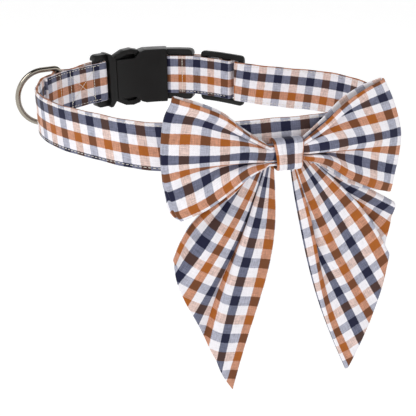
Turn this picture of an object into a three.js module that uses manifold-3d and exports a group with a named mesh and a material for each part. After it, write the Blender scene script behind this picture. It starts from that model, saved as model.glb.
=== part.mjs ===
// Pet bow tie collar, in millimetres. The origin is the middle of the neck opening at half the strap's width,
// +Z is up, +Y goes to the buckle at the back of the neck, and +X to the wearer's left.
// Along the strap, "at" is the length from the loop's +X side, anticlockwise from above, and "out" is the
// distance outwards from the loop's line.
import * as THREE from "three";
import { mergeVertices } from "three/addons/utils/BufferGeometryUtils.js";
import Module from "manifold-3d";

const wasm = await Module();
wasm.setup();

// Clearance between pieces that touch on the real collar
const SEAT = 0.3;

// How far a cut or a joined block runs past its neighbour's face, and distances that count as the same point
const OVERRUN = 1;
const SAME_POINT = 1e-3;
const WELD = 1e-4;

// The neck loop: a mean radius, and waves round it as shares of that radius
const LOOP_RADIUS = 79.02;
const LOOP_WAVES = [
  { turns: 2, cosine: 0.143, sine: -0.0882 },
  { turns: 3, cosine: 0.0599, sine: -0.0202 },
  { turns: 4, cosine: 0.0514, sine: -0.0056 },
  { turns: 5, cosine: -0.0029, sine: -0.0003 },
  { turns: 6, cosine: 0.0017, sine: 0.0002 },
];
const LOOP_SAMPLES = 1440;

// The strap
const STRAP_WIDTH = 25;
const STRAP_THICK = 2;
const STRAP_STEP = 5;
const TIGHT_BEND = 1.4;
const SOFT_BEND = 12;

// The side-release buckle, centred on the loop's line at a share of the loop's length
const BUCKLE_PLACE = 0.3163;
const BUCKLE_LENGTH = 66;
const BUCKLE_THICK = 10.4;
const BUCKLE_INNER = -2.4;
const HOUSING_HEIGHT = 35;
const FRAME_HEIGHT = 33.4;
const RAIL = 3.9;
const BAR_THICK = 3.4;
const MALE_FRAME_LENGTH = 8.6;
const MALE_BAR = 4;
const MALE_BODY_LENGTH = 7.4;
const FEMALE_FRAME_LENGTH = 16.6;
const FEMALE_BAR = 4.4;
const FEMALE_END_BAR = 3;
const FEMALE_LIP = 3;
const HOUSING_WALL = 2;
const WINDOW_START = 2.8;
const WINDOW_LENGTH = 10.8;
const WINDOW_DEPTH = 3.9;
const PRONG_LENGTH = 25;
const PRONG_WIDTH = 4;
const SHOULDER_RISE = 3.2;
const GUIDE_WIDTH = 8;
const SLICE_STEP = 4;
const EDGE_CHAMFER = 1.8;

// The slider
const SLIDER_GAP = 5.6;
const SLIDER_LENGTH = 32;
const SLIDER_HEIGHT = 32.6;
const SLIDER_THICK = 3.4;
const SLIDER_END_BAR = 4;
const SLIDER_MIDDLE_BAR = 5.2;
const SLIDER_SLOT = 7.2;

// The ring: a straight bar and a half-round bow of round wire
const RING_WIRE = 3.2;
const RING_HALF_HEIGHT = 16.4;
const RING_LEG = 10.7;
const RING_FROM_BUCKLE = 26.5;
const RING_HEADING = 209;
const RING_SIDES = 8;
const RING_STEPS = 40;
const TUNNEL_HALF = 6;
const FOLD_BACK_LENGTH = 44.5;

// The bow, centred on the knot
const KNOT_PLACE = 0.822;
const KNOT_RISE = -4;
const KNOT_WIDTH = 17;
const KNOT_HEIGHT = 16;
const KNOT_DEPTH = 9.4;
const KNOT_WALL = 1.2;
const KNOT_ROUND = 2.6;
const CLOTH_THICK = 1.2;
const WING_REACH = 63;
const WING_HEIGHT = 65;
const WING_BELLY = 3.4;
const WING_GAP = 2.6;
const FOLD_BULGE = 1.3;
const GATHER_DEPTH = 1;
const PLEAT_DEPTH = 2.8;
const END_WAVE = 0.5;
const TAIL_LENGTH = 129;
const TAIL_SPREAD = 60;
const TAIL_FORWARD = 12;
const TAIL_PLEAT = 4.6;
const TAIL_HIDDEN = 0.2;
const LENGTH_STEPS = 9;
const ROW_STEPS = 2;

// A row for each thread line of a wing, from its upper edge to its lower edge. end and rise place its outer end as
// shares of the reach and the height, knot its gathered end as a share of the knot's height, fold is its height
// above the gathers in pleat depths, and arch bends it as a share of the wing's height.
const LEFT_WING = [
  { end: 0.88, rise: 0.502, knot: 0.29, fold: -0.2, arch: 0.005 },
  { end: 0.943, rise: 0.351, knot: 0.26, fold: -0.55, arch: 0.035 },
  { end: 0.973, rise: 0.203, knot: 0.2, fold: -0.7, arch: 0.01 },
  { end: 0.989, rise: 0.1, knot: 0.13, fold: 0.95, arch: 0 },
  { end: 0.989, rise: 0.0, knot: 0.02, fold: 1, arch: 0 },
  { end: 0.983, rise: -0.102, knot: -0.06, fold: -1, arch: 0.02 },
  { end: 0.937, rise: -0.258, knot: -0.15, fold: -0.5, arch: 0.02 },
  { end: 0.865, rise: -0.428, knot: -0.24, fold: 0.75, arch: -0.01 },
  { end: 0.848, rise: -0.472, knot: -0.3, fold: 0.1, arch: -0.015 },
];
const RIGHT_WING = [
  { end: 0.845, rise: 0.505, knot: 0.29, fold: -0.1, arch: -0.03 },
  { end: 0.897, rise: 0.372, knot: 0.25, fold: -0.6, arch: 0.01 },
  { end: 0.956, rise: 0.234, knot: 0.19, fold: -0.35, arch: 0.005 },
  { end: 1.005, rise: 0.12, knot: 0.12, fold: 0.9, arch: 0.005 },
  { end: 1.016, rise: 0.02, knot: 0.02, fold: 1, arch: 0 },
  { end: 1.005, rise: -0.071, knot: -0.06, fold: -1, arch: 0 },
  { end: 0.994, rise: -0.24, knot: -0.15, fold: -0.2, arch: 0.015 },
  { end: 0.975, rise: -0.4, knot: -0.24, fold: 0.55, arch: 0.02 },
  { end: 0.973, rise: -0.428, knot: -0.3, fold: 0.1, arch: 0.01 },
];

// A row for each thread line of a tail, from the edge by the middle to the outer edge. side and drop place its end
// on the slanted hem as shares of the spread and the length, top and above its gathered end behind the knot as
// shares of the knot's width and height, fold is its height above the gathers in pleat depths, and arch bends it
// sideways as a share of the spread.
const LEFT_TAIL = [
  { side: 0.528, drop: 0.99, top: 0.28, above: -0.05, fold: 0, arch: -0.17 },
  { side: 0.552, drop: 0.93, top: 0.31, above: 0, fold: 0.55, arch: -0.13 },
  { side: 0.617, drop: 0.86, top: 0.34, above: 0.05, fold: 0.7, arch: -0.08 },
  { side: 0.68, drop: 0.785, top: 0.37, above: 0.1, fold: -0.7, arch: -0.03 },
  { side: 0.808, drop: 0.652, top: 0.4, above: 0.15, fold: -0.35, arch: 0.01 },
  { side: 0.892, drop: 0.557, top: 0.43, above: 0.2, fold: 0.45, arch: 0.02 },
  { side: 0.95, drop: 0.447, top: 0.46, above: 0.25, fold: -0.3, arch: 0.01 },
  { side: 0.987, drop: 0.38, top: 0.49, above: 0.3, fold: 0.2, arch: 0 },
];
const RIGHT_TAIL = [
  { side: 0.597, drop: 1.01, top: 0.3, above: -0.05, fold: 0, arch: -0.2 },
  { side: 0.62, drop: 0.97, top: 0.33, above: 0, fold: 0.7, arch: -0.16 },
  { side: 0.695, drop: 0.895, top: 0.35, above: 0.05, fold: -0.6, arch: -0.1 },
  { side: 0.785, drop: 0.8, top: 0.38, above: 0.1, fold: 0.5, arch: -0.05 },
  { side: 0.87, drop: 0.68, top: 0.41, above: 0.15, fold: -0.4, arch: 0.03 },
  { side: 0.95, drop: 0.52, top: 0.44, above: 0.2, fold: 0.55, arch: 0.05 },
  { side: 0.985, drop: 0.4, top: 0.47, above: 0.25, fold: -0.5, arch: 0.02 },
  { side: 1.03, drop: 0.3, top: 0.5, above: 0.3, fold: 0.3, arch: 0 },
];

// Finishes
const CHECK_COTTON = new THREE.MeshStandardMaterial({ color: "#b9a8ad", roughness: 0.95, metalness: 0 });
const BLACK_PLASTIC = new THREE.MeshStandardMaterial({ color: "#191b1c", roughness: 0.42, metalness: 0 });
const NICKEL = new THREE.MeshStandardMaterial({ color: "#c9c3b4", roughness: 0.2, metalness: 1 });

// The loop's line: its radius at an angle, then a measured table of places along it
function loopPoint(angle) {
  let share = 1;
  for (const wave of LOOP_WAVES) {
    share += wave.cosine * Math.cos(wave.turns * angle) + wave.sine * Math.sin(wave.turns * angle);
  }
  return new THREE.Vector2(Math.cos(angle), Math.sin(angle)).multiplyScalar(LOOP_RADIUS * share);
}

const lengthAt = [0];
for (let i = 1; i <= LOOP_SAMPLES; i++) {
  const here = loopPoint((2 * Math.PI * i) / LOOP_SAMPLES);
  const before = loopPoint((2 * Math.PI * (i - 1)) / LOOP_SAMPLES);
  lengthAt.push(lengthAt[i - 1] + here.distanceTo(before));
}
const LOOP_LENGTH = lengthAt[LOOP_SAMPLES];

function loopAngle(at) {
  const rest = THREE.MathUtils.euclideanModulo(at, LOOP_LENGTH);
  let low = 0;
  let high = LOOP_SAMPLES;
  while (high - low > 1) {
    const middle = (low + high) >> 1;
    if (lengthAt[middle] <= rest) low = middle;
    else high = middle;
  }
  const share = (rest - lengthAt[low]) / (lengthAt[high] - lengthAt[low]);
  return (2 * Math.PI * (low + share)) / LOOP_SAMPLES;
}

// The loop's frame at a length: the point, the way along and the way out
function frameAt(at) {
  const angle = loopAngle(at);
  const small = (2 * Math.PI) / LOOP_SAMPLES;
  const along = loopPoint(angle + small).sub(loopPoint(angle - small)).normalize();
  return { point: loopPoint(angle), along, outwards: new THREE.Vector2(along.y, -along.x) };
}

function onLoop(at, out) {
  const { point, outwards } = frameAt(at);
  return point.addScaledVector(outwards, out);
}

// Solids and meshes
function solidOf(geometry) {
  const bare = geometry.clone();
  bare.deleteAttribute("normal");
  bare.deleteAttribute("uv");
  const merged = mergeVertices(bare, WELD);
  return new wasm.Manifold(
    new wasm.Mesh({
      numProp: 3,
      vertProperties: merged.attributes.position.array,
      triVerts: new Uint32Array(merged.index.array),
    }),
  );
}

function geometryOf(solid) {
  const mesh = solid.getMesh();
  const geometry = new THREE.BufferGeometry();
  geometry.setAttribute("position", new THREE.BufferAttribute(mesh.vertProperties, 3));
  geometry.setIndex(new THREE.BufferAttribute(mesh.triVerts, 1));
  return geometry;
}

function named(name, geometry, material) {
  const mesh = new THREE.Mesh(geometry, material);
  mesh.name = name;
  return mesh;
}

// A box in strap lengths: at runs along the strap, out away from the neck and up the strap's width
function block(at, out, up) {
  const box = new THREE.BoxGeometry(at[1] - at[0], out[1] - out[0], up[1] - up[0]);
  box.translate((at[0] + at[1]) / 2, (out[0] + out[1]) / 2, (up[0] + up[1]) / 2);
  return solidOf(box);
}

// A block with its edges along the strap cut off at an angle, so that its section has eight sides
function easedBlock(at, out, half, chamfer) {
  const section = new THREE.Shape([
    new THREE.Vector2(out[0] + chamfer, -half),
    new THREE.Vector2(out[1] - chamfer, -half),
    new THREE.Vector2(out[1], -half + chamfer),
    new THREE.Vector2(out[1], half - chamfer),
    new THREE.Vector2(out[1] - chamfer, half),
    new THREE.Vector2(out[0] + chamfer, half),
    new THREE.Vector2(out[0], half - chamfer),
    new THREE.Vector2(out[0], -half + chamfer),
  ]);
  const bar = new THREE.ExtrudeGeometry(section, { depth: at[1] - at[0], bevelEnabled: false });
  bar.applyMatrix4(
    new THREE.Matrix4().makeBasis(
      new THREE.Vector3(0, 1, 0),
      new THREE.Vector3(0, 0, 1),
      new THREE.Vector3(1, 0, 0),
    ),
  );
  bar.translate(at[0], 0, 0);
  return solidOf(bar);
}

// Cuts each triangle where it crosses planes a step apart along the strap, so that it can bend with the loop
function sliced(geometry, step) {
  const source = geometry.index ? geometry.toNonIndexed() : geometry;
  const corners = source.attributes.position;
  let triangles = [];
  for (let i = 0; i < corners.count; i += 3) {
    triangles.push([0, 1, 2].map((k) => new THREE.Vector3().fromBufferAttribute(corners, i + k)));
  }
  source.computeBoundingBox();
  const first = Math.ceil(source.boundingBox.min.x / step) * step;
  for (let plane = first; plane < source.boundingBox.max.x; plane += step) {
    triangles = triangles.flatMap((triangle) => splitAt(triangle, plane));
  }
  return new THREE.BufferGeometry().setFromPoints(triangles.flat());
}

function splitAt(triangle, plane) {
  const tiny = 1e-5;
  const ring = [];
  triangle.forEach((corner, k) => {
    const next = triangle[(k + 1) % 3];
    ring.push(corner);
    const here = corner.x - plane;
    const there = next.x - plane;
    if (Math.abs(here) < tiny || Math.abs(there) < tiny || here * there > 0) return;
    const [low, high] = here < there ? [corner, next] : [next, corner];
    ring.push(low.clone().lerp(high, (plane - low.x) / (high.x - low.x)).setX(plane));
  });
  const halves = [-1, 1].map((side) => ring.filter((corner) => side * (corner.x - plane) > -tiny));
  return halves.flatMap((half) => half.slice(2).map((corner, k) => [half[0], half[k + 1], corner]));
}

// Bends a solid from strap lengths round the loop, which turns its faces round
function bent(solid) {
  const flat = sliced(geometryOf(solid), SLICE_STEP);
  const corners = flat.attributes.position;
  const points = [];
  for (let i = 0; i < corners.count; i += 3) {
    for (const k of [0, 2, 1]) {
      const place = onLoop(corners.getX(i + k), corners.getY(i + k));
      points.push(new THREE.Vector3(place.x, place.y, corners.getZ(i + k)));
    }
  }
  return new THREE.BufferGeometry().setFromPoints(points);
}

// Places along the strap, worked out from the buckle
const buckleMiddle = BUCKLE_PLACE * LOOP_LENGTH;
const femaleEnd = buckleMiddle - BUCKLE_LENGTH / 2;
const maleEnd = buckleMiddle + BUCKLE_LENGTH / 2;
const femaleLip = femaleEnd + FEMALE_FRAME_LENGTH;
const maleLip = maleEnd - MALE_FRAME_LENGTH;
const mouth = maleLip - MALE_BODY_LENGTH;
const frameInner = STRAP_THICK / 2 + SEAT;
const buckleOuter = BUCKLE_INNER + BUCKLE_THICK;
const plyOverBar = frameInner + BAR_THICK + SEAT + STRAP_THICK / 2;
const sliderLeft = femaleEnd - SLIDER_GAP;
const sliderRight = sliderLeft - SLIDER_LENGTH;
const ringAt = maleEnd + RING_FROM_BUCKLE;
const slotHalf = STRAP_WIDTH / 2 + SEAT;
const frameHalf = FRAME_HEIGHT / 2;

// A frame end of the buckle: two rails, with the strap's slot between them
function rails(at) {
  const all = easedBlock(at, [frameInner, buckleOuter - SEAT], frameHalf, EDGE_CHAMFER);
  const between = [RAIL - frameHalf, frameHalf - RAIL];
  return all.subtract(block([at[0] - OVERRUN, at[1] + OVERRUN], [BUCKLE_INNER, buckleOuter + OVERRUN], between));
}

function bar(at) {
  return block(at, [frameInner, frameInner + BAR_THICK], [RAIL / 2 - frameHalf, frameHalf - RAIL / 2]);
}

function buckleMale() {
  const body = easedBlock([mouth, maleLip], [BUCKLE_INNER, buckleOuter], frameHalf, EDGE_CHAMFER);
  const clear = HOUSING_WALL + SEAT;
  const prongOut = [BUCKLE_INNER + clear, buckleOuter - clear];
  const cavityHalf = HOUSING_HEIGHT / 2 - HOUSING_WALL;
  let male = body.add(rails([maleLip - OVERRUN, maleEnd])).add(bar([maleEnd - MALE_BAR, maleEnd]));
  for (const side of [-1, 1]) {
    const outer = cavityHalf - SEAT;
    const span = (low, high) => (side > 0 ? [low, high] : [-high, -low]);
    const prong = block([mouth - PRONG_LENGTH, mouth + OVERRUN], prongOut, span(outer - PRONG_WIDTH, outer));
    const shoulder = block(
      [mouth - WINDOW_START - WINDOW_LENGTH + SEAT, mouth - WINDOW_START - SEAT],
      prongOut,
      span(outer - PRONG_WIDTH, outer - PRONG_WIDTH + SHOULDER_RISE + PRONG_WIDTH - HOUSING_WALL),
    );
    male = male.add(prong).add(shoulder);
  }
  const guideUp = [-GUIDE_WIDTH / 2, GUIDE_WIDTH / 2];
  return male.add(block([mouth - PRONG_LENGTH + PRONG_WIDTH, mouth + OVERRUN], prongOut, guideUp));
}

function buckleFemale() {
  const half = HOUSING_HEIGHT / 2;
  const shell = easedBlock([femaleLip, mouth - SEAT], [BUCKLE_INNER, buckleOuter], half, EDGE_CHAMFER);
  const cavity = block(
    [femaleLip + FEMALE_LIP, mouth + OVERRUN],
    [BUCKLE_INNER + HOUSING_WALL, buckleOuter - HOUSING_WALL],
    [HOUSING_WALL - half, half - HOUSING_WALL],
  );
  let female = shell.subtract(cavity);
  const windowAt = [mouth - WINDOW_START - WINDOW_LENGTH, mouth - WINDOW_START];
  for (const side of [-1, 1]) {
    const up = side > 0 ? [half - WINDOW_DEPTH, half + OVERRUN] : [-half - OVERRUN, WINDOW_DEPTH - half];
    female = female.subtract(block(windowAt, [BUCKLE_INNER - OVERRUN, buckleOuter + OVERRUN], up));
  }
  const barEnd = femaleLip - FEMALE_LIP - SEAT - STRAP_THICK;
  return female
    .add(rails([femaleEnd, femaleLip + OVERRUN]))
    .add(bar([femaleEnd, femaleEnd + FEMALE_END_BAR]))
    .add(bar([barEnd - FEMALE_BAR, barEnd]));
}

function slider() {
  const half = SLIDER_HEIGHT / 2;
  const outer = frameInner + SLIDER_THICK;
  const plate = easedBlock([sliderRight, sliderLeft], [frameInner, outer], half, EDGE_CHAMFER / 2);
  const slotStart = sliderRight + SLIDER_END_BAR;
  const secondStart = slotStart + SLIDER_SLOT + SLIDER_MIDDLE_BAR;
  const through = [frameInner - OVERRUN, outer + OVERRUN];
  return plate
    .subtract(block([slotStart, slotStart + SLIDER_SLOT], through, [-slotHalf, slotHalf]))
    .subtract(block([secondStart, sliderLeft - SLIDER_END_BAR], through, [-slotHalf, slotHalf]));
}

// The strap's line, from the end sewn down behind the ring, round the male bar, round the neck, through the slider
// and round the female bar to the end folded round the slider's middle bar. Each row is a corner, eased by its bend.
function strapCorners() {
  const wrapMale = maleEnd - MALE_BAR - SEAT - STRAP_THICK / 2;
  const sewnEnd = maleEnd + FOLD_BACK_LENGTH;
  const plyTouch = STRAP_THICK + SEAT;
  const plyOverWire = STRAP_THICK + 2 * SEAT + RING_WIRE;
  const turn = LOOP_LENGTH;
  const slotStart = turn + sliderRight + SLIDER_END_BAR;
  const dive = slotStart + SEAT + STRAP_THICK;
  const hook = slotStart + SLIDER_SLOT - SEAT - STRAP_THICK / 2;
  const plyOverSlider = frameInner + SLIDER_THICK + SEAT + STRAP_THICK / 2;
  const plyOverHook = plyOverSlider + STRAP_THICK + SEAT;
  const wrapFemale = turn + femaleLip - FEMALE_LIP - STRAP_THICK / 2;
  return [
    { at: sewnEnd, out: 0, bend: 0 },
    { at: wrapMale, out: 0, bend: TIGHT_BEND },
    { at: wrapMale, out: plyOverBar, bend: TIGHT_BEND },
    { at: maleEnd + OVERRUN, out: plyOverBar, bend: SOFT_BEND },
    { at: maleEnd + SOFT_BEND, out: plyTouch, bend: SOFT_BEND },
    { at: ringAt - TUNNEL_HALF, out: plyTouch, bend: TIGHT_BEND },
    { at: ringAt - TIGHT_BEND, out: plyOverWire, bend: TIGHT_BEND },
    { at: ringAt + TIGHT_BEND, out: plyOverWire, bend: TIGHT_BEND },
    { at: ringAt + TUNNEL_HALF, out: plyTouch, bend: TIGHT_BEND },
    { at: sewnEnd + OVERRUN, out: plyTouch, bend: SOFT_BEND },
    { at: sewnEnd + SOFT_BEND, out: 0, bend: SOFT_BEND },
    { at: dive, out: 0, bend: TIGHT_BEND },
    { at: dive, out: plyOverHook, bend: TIGHT_BEND },
    { at: hook + SLIDER_MIDDLE_BAR + TUNNEL_HALF, out: plyOverHook, bend: SOFT_BEND },
    { at: turn + femaleEnd, out: plyOverBar, bend: SOFT_BEND },
    { at: wrapFemale, out: plyOverBar, bend: TIGHT_BEND },
    { at: wrapFemale, out: 0, bend: TIGHT_BEND },
    { at: hook, out: 0, bend: TIGHT_BEND },
    { at: hook, out: plyOverSlider, bend: TIGHT_BEND },
    { at: hook + SLIDER_MIDDLE_BAR, out: plyOverSlider, bend: 0 },
  ];
}

// Rounds the corners of a line by arcs, and breaks its straight stretches into steps
function easedLine(corners, step) {
  const points = [];
  const flat = corners.map((corner) => new THREE.Vector2(corner.at, corner.out));
  const reach = flat.map((corner, i) => {
    if (!corners[i].bend || i === 0 || i === flat.length - 1) return 0;
    const before = flat[i - 1].clone().sub(corner);
    const after = flat[i + 1].clone().sub(corner);
    const half = Math.acos(THREE.MathUtils.clamp(before.dot(after) / (before.length() * after.length()), -1, 1)) / 2;
    return Math.min(corners[i].bend / Math.tan(half), before.length() * 0.49, after.length() * 0.49);
  });
  flat.forEach((corner, i) => {
    if (i > 0) {
      const start = flat[i - 1].clone().lerp(corner, reach[i - 1] / flat[i - 1].distanceTo(corner));
      const end = corner.clone().lerp(flat[i - 1], reach[i] / flat[i - 1].distanceTo(corner));
      const count = Math.max(1, Math.ceil(start.distanceTo(end) / step));
      for (let k = 0; k <= count; k++) points.push(start.clone().lerp(end, k / count));
    }
    if (reach[i] > 0) {
      const start = corner.clone().lerp(flat[i - 1], reach[i] / flat[i - 1].distanceTo(corner));
      const end = corner.clone().lerp(flat[i + 1], reach[i] / flat[i + 1].distanceTo(corner));
      const curve = new THREE.QuadraticBezierCurve(start, corner, end);
      points.push(...curve.getPoints(4).slice(1, -1));
    }
  });
  return points.filter((point, i) => i === 0 || point.distanceTo(points[i - 1]) > SAME_POINT);
}

function strap() {
  const line = easedLine(strapCorners(), STRAP_STEP);
  const sides = [1, -1].map((side) =>
    line.map((point, i) => {
      const before = line[Math.max(0, i - 1)];
      const after = line[Math.min(line.length - 1, i + 1)];
      const along = after.clone().sub(before).normalize();
      const across = new THREE.Vector2(-along.y, along.x).multiplyScalar((side * STRAP_THICK) / 2);
      return onLoop(point.x + across.x, point.y + across.y);
    }),
  );
  const outline = new THREE.Shape([...sides[0], ...sides[1].reverse()]);
  const ribbon = new THREE.ExtrudeGeometry(outline, { depth: STRAP_WIDTH, bevelEnabled: false });
  ribbon.translate(0, 0, -STRAP_WIDTH / 2);
  return ribbon;
}

// The ring, in its own plane: the bar along +Z at the origin, the bow towards +X
class RingCurve extends THREE.Curve {
  getPoint(share, target = new THREE.Vector3()) {
    const bow = Math.PI * RING_HALF_HEIGHT;
    const whole = bow + 2 * RING_LEG + 2 * RING_HALF_HEIGHT;
    const far = share * whole;
    if (far < RING_LEG) return target.set(far, 0, RING_HALF_HEIGHT);
    if (far < RING_LEG + bow) {
      const angle = Math.PI / 2 - (far - RING_LEG) / RING_HALF_HEIGHT;
      return target.set(RING_LEG + RING_HALF_HEIGHT * Math.cos(angle), 0, RING_HALF_HEIGHT * Math.sin(angle));
    }
    if (far < 2 * RING_LEG + bow) return target.set(2 * RING_LEG + bow - far, 0, -RING_HALF_HEIGHT);
    return target.set(0, 0, far - 2 * RING_LEG - bow - RING_HALF_HEIGHT);
  }
}

function ring() {
  const curve = new RingCurve();
  const section = [];
  for (let k = 0; k < RING_SIDES; k++) {
    const angle = (2 * Math.PI * (k + 0.5)) / RING_SIDES;
    section.push(new THREE.Vector2(Math.cos(angle), Math.sin(angle)).multiplyScalar(RING_WIRE / 2));
  }
  const stations = [];
  for (let i = 0; i < RING_STEPS; i++) stations.push(curve.getPoint(i / RING_STEPS));
  const middle = new THREE.Vector3(RING_LEG, 0, 0);
  const points = stations.map((station, i) => {
    const before = stations[(i + RING_STEPS - 1) % RING_STEPS];
    const after = stations[(i + 1) % RING_STEPS];
    const along = after.clone().sub(before).normalize();
    const across = new THREE.Vector3(0, 1, 0);
    const outwards = along.clone().cross(across);
    if (outwards.dot(station.clone().sub(middle)) < 0) outwards.negate();
    return section.map((spot) => station.clone().addScaledVector(outwards, spot.x).addScaledVector(across, spot.y));
  });
  const geometry = closedTube(points);
  const inside = RING_HALF_HEIGHT - RING_WIRE / 2 - STRAP_WIDTH / 2;
  geometry.rotateZ(THREE.MathUtils.degToRad(RING_HEADING));
  const place = onLoop(ringAt, STRAP_THICK / 2 + SEAT + RING_WIRE / 2);
  geometry.translate(place.x, place.y, SEAT - inside);
  return geometry;
}

// A tube through rings of points that ends where it starts
function closedTube(rings) {
  const points = [];
  const count = rings[0].length;
  rings.forEach((here, i) => {
    const next = rings[(i + 1) % rings.length];
    for (let k = 0; k < count; k++) {
      const m = (k + 1) % count;
      points.push(here[k], here[m], next[m], here[k], next[m], next[k]);
    }
  });
  return facingOut(new THREE.BufferGeometry().setFromPoints(points));
}

// Turns a closed surface so that its faces point out
function facingOut(geometry) {
  const corners = geometry.attributes.position;
  const [a, b, c] = [new THREE.Vector3(), new THREE.Vector3(), new THREE.Vector3()];
  let volume = 0;
  for (let i = 0; i < corners.count; i += 3) {
    a.fromBufferAttribute(corners, i);
    b.fromBufferAttribute(corners, i + 1);
    c.fromBufferAttribute(corners, i + 2);
    volume += a.dot(b.cross(c));
  }
  if (volume > 0) return geometry;
  const points = [];
  for (let i = 0; i < corners.count; i += 3) {
    for (const k of [0, 2, 1]) points.push(new THREE.Vector3().fromBufferAttribute(corners, i + k));
  }
  return new THREE.BufferGeometry().setFromPoints(points);
}

// The bow's own frame: across to the right, rise up and out from the strap, from the knot's middle on the strap
const knotFrame = frameAt(KNOT_PLACE * LOOP_LENGTH);
function onBow(across, rise, out) {
  const place = knotFrame.point.clone().addScaledVector(knotFrame.along, across).addScaledVector(knotFrame.outwards, out);
  return new THREE.Vector3(place.x, place.y, KNOT_RISE + rise);
}

// Depths of the layers inside the knot, from the strap's face outwards
const bowBack = STRAP_THICK / 2 + SEAT;
const tailOut = bowBack + CLOTH_THICK / 2;
const bandBack = bowBack + CLOTH_THICK + SEAT;
const bandFront = bowBack + KNOT_DEPTH;
const wingBackOut = bandBack + KNOT_WALL + SEAT + CLOTH_THICK / 2;
const wingFrontOut = wingBackOut + WING_GAP;

// Rows between the table's rows, by a smooth curve through each column
function smoothRows(table) {
  const rows = [];
  const keys = Object.keys(table[0]);
  for (let i = 0; i < (table.length - 1) * ROW_STEPS + 1; i++) {
    const at = i / ROW_STEPS;
    const low = Math.min(Math.floor(at), table.length - 2);
    const [p, q, r, s] = [low - 1, low, low + 1, low + 2].map(
      (k) => table[THREE.MathUtils.clamp(k, 0, table.length - 1)],
    );
    const t = at - low;
    const row = {};
    for (const key of keys) {
      const bend = (r[key] - p[key]) / 2;
      const exit = (s[key] - q[key]) / 2;
      row[key] =
        q[key] * (2 * t ** 3 - 3 * t ** 2 + 1) +
        bend * (t ** 3 - 2 * t ** 2 + t) +
        r[key] * (3 * t ** 2 - 2 * t ** 3) +
        exit * (t ** 3 - t ** 2);
    }
    rows.push(row);
  }
  return rows;
}

// A closed cloth wall of one thickness about a grid of points
function clothWall(grid, thick) {
  const rows = grid.length;
  const columns = grid[0].length;
  const clampRow = (i) => THREE.MathUtils.clamp(i, 0, rows - 1);
  const clampColumn = (j) => THREE.MathUtils.clamp(j, 0, columns - 1);
  const faces = [1, -1].map((side) =>
    grid.map((line, i) =>
      line.map((point, j) => {
        const down = grid[clampRow(i + 1)][j].clone().sub(grid[clampRow(i - 1)][j]);
        const along = line[clampColumn(j + 1)].clone().sub(line[clampColumn(j - 1)]);
        return point.clone().addScaledVector(along.cross(down).normalize(), (side * thick) / 2);
      }),
    ),
  );
  const points = [];
  const quad = (a, b, c, d) => points.push(a, b, c, a, c, d);
  const [front, back] = faces;
  for (let i = 0; i < rows - 1; i++) {
    for (let j = 0; j < columns - 1; j++) {
      quad(front[i][j], front[i][j + 1], front[i + 1][j + 1], front[i + 1][j]);
      quad(back[i][j], back[i + 1][j], back[i + 1][j + 1], back[i][j + 1]);
    }
    quad(front[i][0], front[i + 1][0], back[i + 1][0], back[i][0]);
    quad(front[i][columns - 1], back[i][columns - 1], back[i + 1][columns - 1], front[i + 1][columns - 1]);
  }
  for (let j = 0; j < columns - 1; j++) {
    quad(front[0][j], back[0][j], back[0][j + 1], front[0][j + 1]);
    quad(front[rows - 1][j], front[rows - 1][j + 1], back[rows - 1][j + 1], back[rows - 1][j]);
  }
  return facingOut(new THREE.BufferGeometry().setFromPoints(points));
}

// How deep the pleats are along a wing: pressed in the knot, deepest just beyond it, and almost flat at the end
function pleatDepth(share) {
  const swell = Math.sin(Math.PI * Math.min(1, 1.6 * share + 0.05)) ** 2;
  return GATHER_DEPTH * (1 - share) + (PLEAT_DEPTH - GATHER_DEPTH) * swell + END_WAVE * share;
}

// A wing: a strip of double cloth that runs out from the knot, folds back at its outer end and returns behind
function wing(table, side) {
  const innerEnd = SEAT + CLOTH_THICK / 2;
  const bandEdge = KNOT_WIDTH / 2 + SEAT;
  const grid = smoothRows(table).map((row) => {
    const knotRise = row.knot * KNOT_HEIGHT;
    const spot = (share, out) => {
      const across = THREE.MathUtils.lerp(bandEdge, row.end * WING_REACH, share);
      const rise = THREE.MathUtils.lerp(knotRise, row.rise * WING_HEIGHT, share);
      const arch = row.arch * WING_HEIGHT * Math.sin(Math.PI * Math.min(1, share));
      return onBow(side * across, rise + arch, out);
    };
    const line = [onBow(side * innerEnd, knotRise, wingFrontOut + GATHER_DEPTH * row.fold)];
    for (let j = 0; j <= LENGTH_STEPS; j++) {
      const share = j / LENGTH_STEPS;
      const belly = WING_BELLY * Math.sin(Math.PI * share) ** 0.8;
      line.push(spot(share, wingFrontOut + belly + pleatDepth(share) * row.fold));
    }
    line.push(spot(1 + FOLD_BULGE / WING_REACH, (wingFrontOut + wingBackOut) / 2));
    for (let j = LENGTH_STEPS; j >= 0; j--) {
      line.push(spot(j / LENGTH_STEPS, wingBackOut));
    }
    line.push(onBow(side * innerEnd, knotRise, wingBackOut));
    return line;
  });
  return clothWall(grid, CLOTH_THICK);
}

// A tail: a strip of double cloth that hangs from behind the knot to a slanted hem and leans forward as it falls
function tail(table, side) {
  const grid = smoothRows(table).map((row) => {
    const line = [];
    for (let j = 0; j <= LENGTH_STEPS; j++) {
      const share = j / LENGTH_STEPS;
      const across = THREE.MathUtils.lerp(row.top * KNOT_WIDTH, row.side * TAIL_SPREAD, share);
      const rise = THREE.MathUtils.lerp(row.above * KNOT_HEIGHT, -row.drop * TAIL_LENGTH, share);
      const arch = row.arch * TAIL_SPREAD * Math.sin(Math.PI * share);
      const free = Math.max(0, -rise / TAIL_LENGTH - TAIL_HIDDEN) / (1 - TAIL_HIDDEN);
      const pleat = TAIL_PLEAT * row.fold * Math.min(1, 3 * free) * (1 - 0.5 * share);
      line.push(onBow(side * (across + arch), rise, tailOut + TAIL_FORWARD * free + pleat));
    }
    return line;
  });
  return clothWall(grid, CLOTH_THICK);
}

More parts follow.
